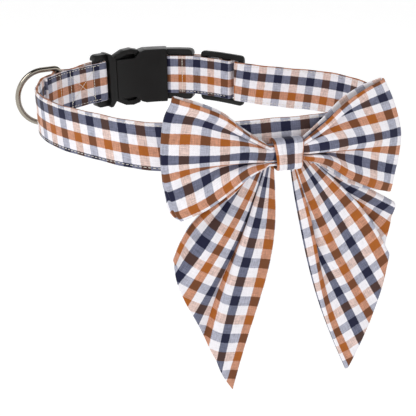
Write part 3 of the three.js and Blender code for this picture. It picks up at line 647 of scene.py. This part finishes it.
def black_plastic(colours):
    """Moulded plastic: satin black, with the fine grain of a spark-eroded mould, rubbed smoother in places."""
    return grained(
        "black_moulded_plastic",
        colours.plastic,
        tones=(0.85, 1.35),
        wear_and_painted_shade=(90.0, 4.0),
        grain=(2600.0, 3.0),
        relief=(0.18, 0.05),
        dull=(0.3, 0.44),
        **{"Specular IOR Level": 0.3},
    )


def nickel_wire(colours):
    """Nickel plate on drawn steel: bright metal with a faint handling haze."""
    return grained(
        "nickel_plated_steel",
        colours.nickel,
        tones=(0.92, 1.04),
        wear_and_painted_shade=(160.0, 5.0),
        grain=(160.0, 5.0),
        relief=(0.1, 0.02),
        dull=(0.16, 0.28),
        Metallic=1.0,
    )


def sewing_thread(colours):
    """Twisted cotton thread: matt, with painted shade in noise patches for the hollows between its plies."""
    return grained(
        "cream_sewing_thread",
        colours.cream,
        # Painted shade: the noise darkens the thread towards its lower tone where the hollows between its plies would
        # be
        tones=(0.78, 1.0),
        wear_and_painted_shade=(3000.0, 2.0),
        grain=(3000.0, 2.0),
        relief=(0.3, 0.05),
        Roughness=0.7,
    )


# The strap


class Places:
    """Places along the strap, worked out from the sizes as in the CAD."""

    def __init__(self, size, loop):
        self.turn = loop.length
        middle, half = BUCKLE_PLACE * self.turn, size.buckle_length / 2
        self.female_end, self.male_end = middle - half, middle + half
        self.female_lip = self.female_end + FEMALE_FRAME
        self.male_lip = self.male_end - MALE_FRAME
        self.mouth = self.male_lip - MALE_BODY
        self.slider_left = self.female_end - SLIDER_GAP
        self.slider_right = self.slider_left - size.slider_length
        self.slot_start = self.slider_right + SLIDER_END_BAR
        self.slot_end = self.slot_start + SLIDER_SLOT
        self.ring = self.male_end + RING_FROM_BUCKLE
        self.sewn_end = self.male_end + FOLD_BACK
        self.thick = size.strap_thick
        self.inner = self.thick / 2 + SEAT
        self.over_bar = self.inner + BAR_THICK + SEAT + self.thick / 2
        self.hook = self.slot_end - SEAT - self.thick / 2


def strap_line(p, wire):
    """The strap's own line as (at, out, bend) corners: sewn end, male bar, neck, slider, female bar, hooked end."""
    touch = p.thick + SEAT
    wrap_male = p.male_lip + 0.6 + p.thick / 2
    over_wire = touch + SEAT + wire
    over_hook = p.over_bar + touch
    dive = p.turn + p.slot_start + SEAT + p.thick / 2
    wrap_female = p.turn + p.female_lip + 1.0 - p.thick / 2
    hook = p.turn + p.hook
    return [
        (p.sewn_end, 0, 0),
        (wrap_male, 0, TIGHT),
        (wrap_male, p.over_bar, TIGHT),
        (p.male_end + 1, p.over_bar, SOFT),
        (p.male_end + 14, touch, SOFT),
        (p.ring - 7, touch, 3),
        (p.ring - 1.5, over_wire, 2.2),
        (p.ring + 1.5, over_wire, 2.2),
        (p.ring + 7, touch, 3),
        (p.sewn_end + 1, touch, 16),
        (p.sewn_end + 12, 0, 16),
        (dive, 0, TIGHT),
        (dive, over_hook, TIGHT),
        (hook + 12.2, over_hook, SOFT),
        (p.turn + p.female_end, p.over_bar, SOFT),
        (wrap_female, p.over_bar, TIGHT),
        (wrap_female, 0, TIGHT),
        (hook, 0, TIGHT),
        (hook, p.over_bar, TIGHT),
        (hook + 5.4, p.over_bar, 0),
    ]


class CollarPiece:
    """What each building operator shares: the sizes in millimetres, the colours, the loop and the places on it."""

    bl_options = {"REGISTER", "UNDO"}

    def begin(self, context):
        sizes, self.colours = context.scene.collar_sizes, context.scene.collar_colours
        self.size = SimpleNamespace(**{name: getattr(sizes, name) / MM for name in type(sizes).__annotations__})
        self.loop = Loop(self.size.loop_radius)
        self.places = Places(self.size, self.loop)
        self.bow = Bow(self.loop)

    def bow_cloth(self, name, grid, weave, scale, shift, flat, area, ends, pinch=1.0):
        """A wing's or a tail's wall of cloth about a grid, in place of the CAD node of that name."""
        material = check_cotton("check_cotton_" + name, self.size, self.colours, scale, shift)
        piece = wall(name + "_cloth", grid, weave, self.size.cloth_thick * MM, material, ends, pinch)
        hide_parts(name)


class COLLAR_OT_strap(CollarPiece, bpy.types.Operator):
    """Builds the strap as one ribbon, with its edge stitching and the seams that close its folded ends."""

    bl_idname = "collar.strap"
    bl_label = "Strap"

    # The weave's shift on the strap's outer face, its inner face and its cut ends, and on the part folded round the
    # buckle's fixed half, and how far it leans for each millimetre across
    outer_shift = (305.6, 8.1)
    inner_shift = (47.9, 5.2)
    end_shift = (303.2, 8.0)
    fold_shift = (6.9, -2.7)
    lean = 0.115

    def execute(self, context):
        self.begin(context)
        line = eased(strap_line(self.places, self.size.ring_wire), 1.2)
        self.ribbon(line)
        self.stitches(line)
        return {"FINISHED"}

    def ribbon(self, line):
        """Section: a flat ribbon with round edges, (out, up) = (t/2 sin, w/2 - 0.4 t + 0.4 t cos) at its edges, pressed
        in by 0.14 along the stitch lines, and its edges waved by 0.16 sin(far / 7.3) + 0.1 sin(far / 2.9 + 1.3)."""
        p = self.places
        half_width, half = self.size.strap_width / 2, p.thick / 2
        inset = half_width - self.size.stitch_inset
        flat_half = half_width - half * 0.8
        across_face, round_rim = 33, 6
        rows = np.linspace(-1, 1, across_face) * flat_half
        face = half - 0.14 * np.exp(-(((np.abs(rows) - inset) / 0.45) ** 2))
        turn = np.radians(np.linspace(75, -75, round_rim))
        side = [np.stack([face, rows], 1), np.stack([half * np.sin(turn), flat_half + half * 0.8 * np.cos(turn)], 1)]
        section = np.concatenate([*side, -side[0], -side[1]])
        along = unit(np.gradient(line, axis=0))
        across = np.stack([-along[:, 1], along[:, 0]], 1)
        far = run(line)
        wave = 0.16 * np.sin(far / 7.3) + 0.1 * np.sin(far / 2.9 + 1.3)
        edge = np.clip(np.abs(section[:, 1]) / half_width, 0, 1) ** 6
        at, out = (line[:, k, None] + across[:, k, None] * section[:, 0] for k in (0, 1))
        points = self.loop.place(at, out, section[:, 1] + wave[:, None] * edge).reshape(-1, 3)
        rings, around = len(line), len(section)
        faces = tube_faces(rings, around)

        # The two faces are woven apart: each takes its own place in the check, and the rims carry it round the edge
        start = np.searchsorted(line[:, 0], p.sewn_end + 40)
        far = far - far[start] + line[start, 0]
        folded = (far < p.male_end + 4)[:, None]
        main = ((far > p.sewn_end) & (far < p.turn + p.slot_start))[:, None]
        rim = np.abs(section[:, 1]) > flat_half
        past = np.where(section[:, 1] > 0, 6.0, -1.7) * (half - np.abs(section[:, 0])) * rim
        weave = np.stack(
            [
                far[:, None] + self.lean * section[:, 1] * main + self.fold_shift[0] * folded,
                section[:, 1] + past + self.fold_shift[1] * folded,
            ],
            -1,
        )
        column = (faces[:, 0] + round_rim - 2) % around
        outer = column < across_face + round_rim
        inner_shift = (p.turn + self.inner_shift[0], self.inner_shift[1])
        uv = weave.reshape(-1, 2)[faces] - np.where(outer[:, None, None], self.outer_shift, inner_shift)
        first, last = np.arange(around)[::-1], np.arange(around)
        caps = [
            np.stack([np.full(around, far[ring]), section[order, 1]], 1) - self.end_shift
            for ring, order in ((0, first), (-1, last))
        ]
        piece = add_surface(
            "strap_webbing",
            points,
            [*faces.tolist(), first, last + (rings - 1) * around],
            check_cotton("check_cotton_strap", self.size, self.colours),
            weave=np.concatenate([uv.reshape(-1, 2), *caps]) * MM,
        )
        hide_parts("strap")

    def stitches(self, line):
        """Each stitch is a bead (a sin, b cos) along its thread, half sunk in the cloth and turned by its seam."""
        p = self.places
        inset = self.size.strap_width / 2 - self.size.stitch_inset
        inner, outer, over_bar = -1.0, 3.3, 6.6
        main = (p.sewn_end + 14, p.turn + p.slider_right - 1)
        spots = []
        for start, end, out in (
            (*main, -inner),
            (*main, inner),
            (p.turn + p.hook + 3, p.turn + p.female_lip - 8, inner),
            (p.male_end - 1, p.sewn_end - 1.5, inner),
            (p.male_end + 15, p.ring - 8, outer),
            (p.ring + 8, p.sewn_end - 1, outer),
        ):
            for at in np.arange(start, end, self.size.stitch_pitch):
                spots += [(at, out, -inset, 0), (at, out, inset + 0.4, 0)]
        rows = np.linspace(-inset, inset, 13)
        cross = (p.male_end + 2.6, p.male_end + 21.5)
        for seam, outs in (
            (cross[0], (inner, over_bar)),
            (cross[1], (inner, outer)),
            (p.ring + 4.2, (inner, outer)),
            (p.turn + p.female_end + 6.4, (inner,)),
        ):
            spots += [(seam, out, up, math.pi / 2) for out in outs for up in rows]
        for lean in (-1, 1):
            for share in np.linspace(0.04, 0.96, 15):
                at = cross[0] + share * (cross[1] - cross[0])
                spots.append((at, inner, lean * (share - 0.5) * 2 * inset * 0.8, 0.72 * lean))
        at, out, up, turn = (column[:, None] for column in np.array(spots).T)
        turn = turn + np.random.default_rng(SEED).normal(0, 0.05, len(spots))[:, None]
        around = np.linspace(0, 2 * math.pi, 9)[:-1]
        bands = np.radians([-90, -50, -15, 15, 50, 90])[:, None]
        long, wide, tall = (
            0.9 * np.repeat(np.sin(bands), 8, 1).ravel(),
            0.19 * (np.cos(bands) * np.cos(around)).ravel(),
            0.17 * (np.cos(bands) * np.sin(around)).ravel(),
        )
        points = self.loop.place(
            at + long * np.cos(turn) - wide * np.sin(turn), out + tall, up + long * np.sin(turn) + wide * np.cos(turn)
        )
        one = tube_faces(len(bands), len(around))
        faces = (one + np.arange(len(spots))[:, None, None] * len(long)).reshape(-1, 4)
        thread = sewing_thread(self.colours)
        piece = add_surface("strap_stitches", points.reshape(-1, 3), faces.tolist(), thread)


# The hardware


class COLLAR_OT_buckle(CollarPiece, bpy.types.Operator):
    """Builds the two halves of the side-release buckle and the slider, moulded and bent with the strap."""

    bl_idname = "collar.buckle"
    bl_label = "Buckle and slider"

    def execute(self, context):
        self.begin(context)
        self.material = black_plastic(self.colours)
        self.half = self.size.housing_height / 2
        self.slot = self.size.strap_width / 2 + SEAT
        for name, make in (("buckle_male", self.male), ("buckle_female", self.female), ("slider", self.slider)):
            piece = make(self.places)
            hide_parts(name)
        return {"FINISHED"}

    def male(self, p):
        """A neck that widens to a collar, a frame with a bar for the strap, a guide, and two arched prongs."""
        edge, neck = self.half - 0.2, 13.6
        body = [
            (p.mouth, -neck, 0.6),
            (p.mouth + 1.2, -neck - 0.5, 1.2),
            (p.mouth + 3.6, -edge, 1.6),
            (p.male_lip + 0.6, -edge, 0.3),
        ]
        shape = scratch(*slab(body, (-2.2, 7.8)))
        frame = [(p.male_lip - 2, 0.3 - edge, 0), (p.male_end, 0.3 - edge, 3.2)]
        combined(shape, [slab(frame, (p.inner, 7.4))], "UNION")
        inner = edge - RAIL
        slot = block((p.male_lip, p.male_end - 4), (-3, 9), (-inner, inner))
        front = block((p.male_end - 4.1, p.male_end + 1), (p.inner + BAR_THICK, 9), (-inner, inner))
        combined(shape, [slot, front], "DIFFERENCE")
        arch = [(2.0, 10.2), (2.0, 13.2), (-1.6, 15.4), (-6.6, 18.0), (-12.0, 18.6), (-16.6, 17.4), (-18.4, 13.4)]
        arch += [(-24.0, 13.4), (-24.0, 10.6), (-15.6, 12.2), (-13.6, 15.2), (-8.4, 15.4), (-3.4, 12.8)]
        web = [(1.6, 10.8), (1.6, 12.6), (-6.6, 16.6), (-12.0, 17.4), (-16.0, 16.4), (-16.8, 10.8)]
        arms = [block((p.mouth - 21, p.mouth + 1), (0.0, 5.6), (-4, 4))]
        for side in (-1, 1):
            arms.append(plate(rounded([(p.mouth + at, side * up, 0.8) for at, up in arch], 3), (-0.3, 5.9)))
            arms.append(plate([(p.mouth + at, side * up) for at, up in web], (3.1, 4.7)))
        combined(shape, arms, "UNION")
        return moulded("buckle_prongs", shape, self.loop, self.material, 0.7, CROWN, self.half)

    def female(self, p):
        """A hollow housing with a finger notch in each side, a tongue with a window, and a bar for the strap in it."""
        half, edge = self.half, self.half - TONGUE
        inner = edge - RAIL
        shape = scratch(*slab([(p.female_lip, -half, 1.0), (p.mouth - SEAT, -half, 1.0)], (-2.4, 8.0)))
        hollow = block((p.female_lip + 3, p.mouth + 1), (-0.4, 6.0), (2 - half, half - 2))
        recess = block((p.female_lip - 1, p.female_lip + 1.3), (-1.3, p.over_bar + 1.3), (-self.slot, self.slot))
        notch = [
            (2, half + 2, 0),
            (2, 12.7, 0),
            (-13.6, 12.7, 2.6),
            (-17.4, 16.4, 2.2),
            (-21.0, half + 0.02, 1.0),
            (-21.4, half + 2, 0),
        ]
        notches = [plate(rounded([(p.mouth + at, side * up, r) for at, up, r in notch]), (-3, 9)) for side in (-1, 1)]
        combined(shape, [hollow, recess, *notches], "DIFFERENCE")
        tongue = [(p.female_end, -edge, 3.2), (p.female_lip + 1, -edge, 0)]
        combined(shape, [slab(tongue, (p.inner, 7.6))], "UNION")
        window = block((p.female_end + 6.5, p.female_lip), (-3, 9), (-inner, inner))
        front = block((p.female_end - 1, p.female_end + 6.6), (p.inner + BAR_THICK, 9), (-inner, inner))
        combined(shape, [window, front], "DIFFERENCE")
        across = (-inner - 1, inner + 1)
        bar = block((p.female_lip - 7.0, p.female_lip - 2.6), (p.inner, p.inner + BAR_THICK), across)
        combined(shape, [bar], "UNION")
        return moulded("buckle_housing", shape, self.loop, self.material, 0.8, CROWN, half)

    def slider(self, p):
        """A plate with a slot on each side of its middle bar."""
        outline = [(p.slider_right, -SLIDER_HALF, 3.0), (p.slider_left, -SLIDER_HALF, 3.0)]
        shape = scratch(*slab(outline, (p.inner, p.inner + BAR_THICK)))
        slots = ((p.slot_start, p.slot_end), (p.slot_end + SLIDER_MIDDLE_BAR, p.slider_left - SLIDER_END_BAR))
        combined(shape, [block(slot, (0, 9), (-self.slot, self.slot)) for slot in slots], "DIFFERENCE")
        return moulded("strap_slider", shape, self.loop, self.material, 0.8, 0.5, SLIDER_HALF)


class COLLAR_OT_ring(CollarPiece, bpy.types.Operator):
    """Builds the ring: a straight bar and a half-round bow of round wire, closed by a weld on the bar."""

    bl_idname = "collar.ring"
    bl_label = "Ring"

    def execute(self, context):
        """The wire's line in (far, up), with a ring of radius r (1 + 0.09 exp(-(steps from the weld / 0.9)^2)) round
        each point, turned by the heading about the bar."""
        self.begin(context)
        wire, half, bend = self.size.ring_wire, RING_HALF, RING_BEND
        arc = np.radians(np.linspace(90, -90, 61))
        corner = np.radians(np.linspace(0, 90, 9))[1:-1]
        low = np.stack([bend - bend * np.sin(corner), -half + bend - bend * np.cos(corner)], 1)
        high = low[::-1] * (1, -1)
        bow = np.stack([RING_LEG + half * np.cos(arc), half * np.sin(arc)], 1)
        bar = np.stack([np.zeros(17), np.linspace(-half + bend, half - bend, 17)], 1)
        legs = np.stack([np.linspace(bend, RING_LEG, 7)[:-1], np.full(6, half)], 1)
        line = np.concatenate([bar, high, legs, bow, legs[::-1] * (1, -1), low])
        along = unit(np.roll(line, -1, 0) - np.roll(line, 1, 0))
        around = np.linspace(0, 2 * math.pi, 25)[:-1]
        middle = len(bar) // 2
        radius = wire / 2 * (1 + 0.09 * np.exp(-(((np.arange(len(line)) - middle) / 0.9) ** 2)))[:, None]
        far = line[:, :1] - along[:, 1:] * radius * np.cos(around)
        up = line[:, 1:] + along[:, :1] * radius * np.cos(around)
        side = radius * np.sin(around)
        heading = math.radians(RING_HEADING)
        hinge = self.loop.place(self.places.ring, self.places.inner + wire / 2, 0.0)
        drop = SEAT - (half - wire / 2 - self.size.strap_width / 2)
        turned_far = far * math.cos(heading) - side * math.sin(heading)
        turned_side = far * math.sin(heading) + side * math.cos(heading)
        points = hinge + np.stack([turned_far, turned_side, up + drop], -1).reshape(-1, 3) * MM
        faces = tube_faces(len(line), len(around), closed=True).tolist()
        piece = add_surface("leash_ring", points, faces, nickel_wire(self.colours), body="d_ring")
        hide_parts("d_ring")
        return {"FINISHED"}


# The bow


def gathers(cloth, share):
    """Fine creases that run out from the knot: the sum of depth exp(-share / far) sin(pi waves cloth + phase)."""
    rng = np.random.default_rng(SEED)
    total = 0
    for waves, deep, far in ((0.9, 0.35, 0.34), (1.7, 0.42, 0.2), (2.9, 0.26, 0.12)):
        phase = rng.uniform(0, 2 * math.pi)
        drift = rng.uniform(-1.2, 1.2)
        total = total + deep * np.exp(-share / far) * np.sin(math.pi * waves * cloth + phase + drift * share)
    return total


class COLLAR_OT_wings(CollarPiece, bpy.types.Operator):
    """Builds the bow's two wings, each a loop of cloth gathered in the knot and folded back at its outer end."""

    bl_idname = "collar.wings"
    bl_label = "Bow wings"

    def execute(self, context):
        """Each wing has the shift of its weave, and of its back ply the step sideways, the lift and the sag of the
        lower edge, the slip of the upper and the lower edge's weave, and the tuck of the whole wing."""
        self.begin(context)
        self.wing("bow_wing_left", LEFT_WING, -1, -1.4, 4.2, 3.0, 1.8, -0.45, 2.2)
        self.wing("bow_wing_right", RIGHT_WING, 1, -6.4, -3.0, 0.0, 3.2, 0.35, 0.8)
        return {"FINISHED"}

    def wing(self, name, table, side, shift, step, lift, sag, slip, tuck):
        """Front ply: across = edge + (end - edge) s, rise and fold from the table's curves at s, and
        out = front + belly sin(pi s)^0.8 + fold + gathers. It turns back round a half ellipse into the back ply."""
        edge, front, back, belly = 8.7, 7.5, 5.1, 3.2
        keys, *columns = (np.array(column) for column in zip(*table))
        cloth = np.linspace(keys[0], keys[-1], WING_GRID[0])
        end, rise, fold = (smooth(keys, column, cloth) for column in columns)
        row = cloth[:, None]
        share = np.linspace(0, 1, WING_GRID[1])
        arch = np.sin(math.pi * share)
        heights = smooth(RISE_AT, rise.T, share).T
        slack = np.sin(row * 2.1 + share * 5) * share * (1 - share)
        depths = front + belly * arch**0.8 + smooth(FOLD_AT, fold.T, share).T + gathers(row, share) + slack
        end = end[:, None] - tuck
        across = edge + (end - edge) * share
        gathered = np.linspace(0.9, edge, KNOT_STEPS + 1)[:-1]

        # The back ply, from the outer end to the knot
        upper = np.clip((0.3 - row) / 1.2, 0, 1)
        lower = np.clip((row - 2.8) / 2.2, 0, 1)
        back_share, arch = share[::-1], arch[::-1]
        back_across = across[:, ::-1] + step * lower * back_share**4
        back_heights = heights[:, ::-1] + upper * (0.5 + 0.3 * arch) + lower * (lift * back_share**6 - sag * arch)
        back_depths = back + (0.25 * np.sin(row * 2.4 + 1) + 0.4) * arch

        # The fold between them
        turn = np.radians(np.linspace(90, -90, FOLD_STEPS + 2))[1:-1]
        middle, deep = ((depths[:, -1:] + way * back_depths[:, :1]) / 2 for way in (1, -1))
        slope = (heights[:, -1:] - heights[:, -2:-1]) / (across[:, -1:] - across[:, -2:-1])
        bulge = (1.5 + 0.25 * np.sin(row * 1.7)) * np.cos(turn)
        behind = (1 - np.sin(turn)) / 2
        notch = 0.9 * lower * np.exp(-(((turn - 0.35) / 0.3) ** 2)) * (step > 0)
        turned_across = end + bulge + step * lower * behind**2 - notch
        rise_on = slope * bulge * 0.6 + (back_heights[:, :1] - heights[:, -1:]) * behind**1.5
        plies = (
            (gathered, heights[:, :1], depths[:, :1]),
            (across, heights, depths),
            (turned_across, heights[:, -1:] + rise_on, middle + deep * np.sin(turn)),
            (back_across, back_heights, back_depths),
            (gathered[::-1], back_heights[:, -1:], back_depths[:, -1:]),
        )
        grid = np.concatenate([self.bow.place(side * a, rise, out) for a, rise, out in plies], 1)
        far = run(grid, axis=1)
        fold_at = KNOT_STEPS + WING_GRID[1] + FOLD_STEPS // 2
        slipped = np.clip((np.arange(far.shape[1]) - fold_at) / 6, 0, 1) * (0.4 * upper + slip * lower)
        weave = np.stack([far[:, fold_at, None] - far, (row + slipped) * self.size.check / 2 * MM], -1)
        self.bow_cloth(name, grid, weave, 1.06, shift, flat=(0.066, 0.136), area=0.0056, ends=(False, False))


class COLLAR_OT_tails(CollarPiece, bpy.types.Operator):
    """Builds the bow's two tails, pleated strips that hang from behind the knot to pointed hems."""

    bl_idname = "collar.tails"
    bl_label = "Bow tails"

    def execute(self, context):
        self.begin(context)
        self.tail("bow_tail_left", LEFT_TAIL, -1, -14.6)
        self.tail("bow_tail_right", RIGHT_TAIL, 1, -0.9)
        return {"FINISHED"}

    def tail(self, name, table, side, shift):
        """(across, rise) = from + (to - from) s + n (bow sin(pi s) + sway sin(2 pi s)), with n square to from - to,
        and out = back + forward * how far it has fallen below the wings + fold, which starts below the knot."""
        back, forward, drop, covered = 2.0, 12, 122, 0.2
        fold_from, fold_over = 8, 16
        keys, *columns = (np.array(column) for column in zip(*table))
        cloth = np.linspace(keys[0], keys[-1], TAIL_GRID[0])
        start, end, bend, fold = (smooth(keys, column, cloth)[:, None] for column in columns)
        row = cloth[:, None]
        share = np.linspace(0, 1, TAIL_GRID[1])
        chord = unit(end - start)
        normal = np.stack([chord[..., 1], -chord[..., 0]], -1)
        sideways = bend[..., 0] * np.sin(math.pi * share) + bend[..., 1] * np.sin(2 * math.pi * share)
        across, rise = np.moveaxis(start + (end - start) * share[:, None] + normal * sideways[..., None], -1, 0)
        free = np.clip(-rise / drop - covered, 0, None) / (1 - covered)
        depth = smooth(TAIL_FOLD_AT, fold[:, 0].T, share).T * np.clip((-rise - fold_from) / fold_over, 0, 1)
        soft = 0.35 * np.sin(row * 2.3 + share * 6) * np.clip(2 * free, 0, 1)
        grid = self.bow.place(side * across, rise, back + forward * free + depth + soft)
        weave = np.stack(np.broadcast_arrays(run(grid, axis=1), (row + 1) * self.size.check / 2 * MM), -1)
        ends, pinch = (False, True), 0.35
        self.bow_cloth(name, grid, weave, 0.967, shift, flat=(0.072, 0.132), area=0.0061, ends=ends, pinch=pinch)


class COLLAR_OT_knot(CollarPiece, bpy.types.Operator):
    """Builds the band of cloth that is wrapped once round the gathered middle of the bow."""

    bl_idname = "collar.knot"
    bl_label = "Knot band"

    def execute(self, context):
        """Section: a rounded box of half height h = 7.6, its front face crowned by 0.8 (1 - (rise / h)^2), its width
        squeezed by 5% at mid height, and its face creased by 0.22 cos(9.5 w + 0.6) + 0.14 cos(21 w + 2)."""
        self.begin(context)
        low, high, half, half_width = 2.9, 10.0, 7.6, 7.5
        outline = rounded([(-half, low, 2.3), (-half, high, 2.3), (half, high, 2.3), (half, low, 2.3)], steps=9)
        dense = []
        for here, after in zip(outline, outline[1:] + outline[:1]):
            shares = np.linspace(0, 1, max(1, int(math.dist(here, after) / 0.5)) + 1)[:-1]
            dense.extend(np.array(here) * (1 - s) + np.array(after) * s for s in shares)
        section = np.array(dense)
        section[:, 1] += np.where(section[:, 1] > 6, 0.8 * (1 - (section[:, 0] / half) ** 2), 0)
        section = np.roll(section, -np.argmin(section[:, 1] + 0.001 * np.abs(section[:, 0])), 0)
        ring = np.concatenate([section, section[:1]])
        rise, out = ring[:, :1], ring[:, 1:]
        width = np.linspace(-1, 1, 41)
        squeeze = 1 - 0.05 * np.exp(-((rise / 5) ** 2))
        lean = 1.3 * (1 - rise / half) * (1 - width) / 2
        across = width * half_width * squeeze + 0.8 + lean
        crease = 0.22 * np.cos(width * 9.5 + 0.6) + 0.14 * np.cos(width * 21 + 2) - 0.35 * width**4
        grid = self.bow.place(across, rise, out + crease * np.clip((out - low) / (high - low), 0, 1))
        far = run(ring)[:, None]
        front = np.argmin(np.abs(ring[:, 0]) - ring[:, 1])
        sign = np.sign(ring[front + 1, 0] - ring[front - 1, 0])
        weave = np.stack(np.broadcast_arrays((far - far[front]) * sign - 8.6, width * 8.2 - 0.4), -1) * MM
        material = check_cotton("check_cotton_knot", self.size, self.colours)
        piece = wall("bow_knot", grid, weave, self.size.cloth_thick * MM, material)
        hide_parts("knot_band")
        return {"FINISHED"}


# The stage


class COLLAR_OT_stage(bpy.types.Operator):
    """Sets the pale floor and backdrop, the soft studio lights and the camera."""

    bl_idname = "collar.stage"
    bl_label = "Stage"
    bl_options = {"REGISTER", "UNDO"}

    # Each lamp's name, place in metres, side in metres and power in watts
    lamps = (
        ("key", (-0.55, -0.7, 1.0), 0.8, 8.6),
        ("fill", (0.9, -0.8, 0.4), 1.0, 1.2),
        ("back", (0.1, 0.9, 0.9), 1.2, 3.4),
    )

    # The camera: its place, its tilts in degrees, and its focal length and picture width in pixels
    camera_place = (0.0063, -0.4199, 0.1239)
    pitch, roll = 24, -0.39
    focal, picture = 760, 416
    sensor = 36

    def execute(self, context):
        self.backdrop()
        for name, place, size, power in self.lamps:
            lamp = bpy.data.lights.new(name, "AREA")
            lamp.size = size
            lamp.energy = power
            lit = self.added(name, lamp, context)
            lit.location = place
            lit.rotation_euler = (-Vector(place)).to_track_quat("-Z", "Y").to_euler()
        world = bpy.data.worlds.new("studio")
        world.use_nodes = True
        node = partial(add_node, world.node_tree)
        height = node("SeparateXYZ", node("TexCoord"), out=2)
        feed(world.node_tree.nodes["Background"], {"Strength": node("MapRange", height, -0.2, 0.9, 0.12, 0.84)})
        context.scene.world = world
        context.scene.view_settings.view_transform = "Standard"
        lens = bpy.data.cameras.new("camera")
        lens.sensor_width = self.sensor
        lens.lens = self.focal / self.picture * self.sensor
        lens.clip_start = 0.01
        camera = self.added("camera", lens, context)
        camera.location = self.camera_place
        tilt = Matrix.Rotation(math.radians(90 - self.pitch), 4, "X")
        camera.rotation_euler = (tilt @ Matrix.Rotation(math.radians(self.roll), 4, "Z")).to_euler()
        context.scene.camera = camera
        return {"FINISHED"}

    def added(self, name, data, context):
        thing = bpy.data.objects.new(name, data)
        context.collection.objects.link(thing)
        return thing

    def backdrop(self):
        """A round paper bowl 0.3 m below: (r, z) is flat to 1.8 m, turns up by a quarter circle of 1 m and ends in a
        low wall, so that every view stands on white."""
        turn = np.radians(np.linspace(-90, 0, 25))
        sweep = np.stack([1.8 + np.cos(turn), 0.7 + np.sin(turn)], 1)
        radius, height = np.concatenate([[(0.02, -0.3)], sweep, [(2.8, 1.4)]]).T[..., None]
        around = np.linspace(0, 2 * math.pi, 97)[:-1]
        circles = np.broadcast_arrays(radius * np.cos(around), radius * np.sin(around), height)
        points = np.stack(circles, -1).reshape(-1, 3)
        faces = [*tube_faces(len(radius), len(around)).tolist(), range(len(around))]
        material, _, shader = new_material("pale_paper")
        grey, white = (0.35, 0.35, 0.35), (1, 1, 1)
        feed(shader, {"Base Color": grey, "Emission Color": white, "Emission Strength": 0.8, "Roughness": 0.9})
        add_surface("backdrop", points, faces, material, body=None)


class COLLAR_PT_panel(bpy.types.Panel):
    """The collar's sizes, colours and building steps."""

    bl_idname = "COLLAR_PT_panel"
    bl_label = "Collar"
    bl_space_type = "VIEW_3D"
    bl_region_type = "UI"
    bl_category = "Collar"

    def draw(self, context):
        for group in (context.scene.collar_sizes, context.scene.collar_colours):
            for name in type(group).__annotations__:
                self.layout.prop(group, name)
        for step in STEPS:
            self.layout.operator(step.bl_idname)


STEPS = (
    COLLAR_OT_stage,
    COLLAR_OT_strap,
    COLLAR_OT_buckle,
    COLLAR_OT_ring,
    COLLAR_OT_wings,
    COLLAR_OT_tails,
    COLLAR_OT_knot,
)
CLASSES = (CollarSizes, CollarColours, *STEPS, COLLAR_PT_panel)


def register():
    for made in CLASSES:
        bpy.utils.register_class(made)
    bpy.types.Scene.collar_sizes = bpy.props.PointerProperty(type=CollarSizes)
    bpy.types.Scene.collar_colours = bpy.props.PointerProperty(type=CollarColours)


def unregister():
    del bpy.types.Scene.collar_colours
    del bpy.types.Scene.collar_sizes
    for made in reversed(CLASSES):
        bpy.utils.unregister_class(made)


def main():
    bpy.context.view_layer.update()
    register()
    for step in STEPS:
        group, name = step.bl_idname.split(".")
        getattr(getattr(bpy.ops, group), name)()
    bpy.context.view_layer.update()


if __name__ == "__main__":
    main()
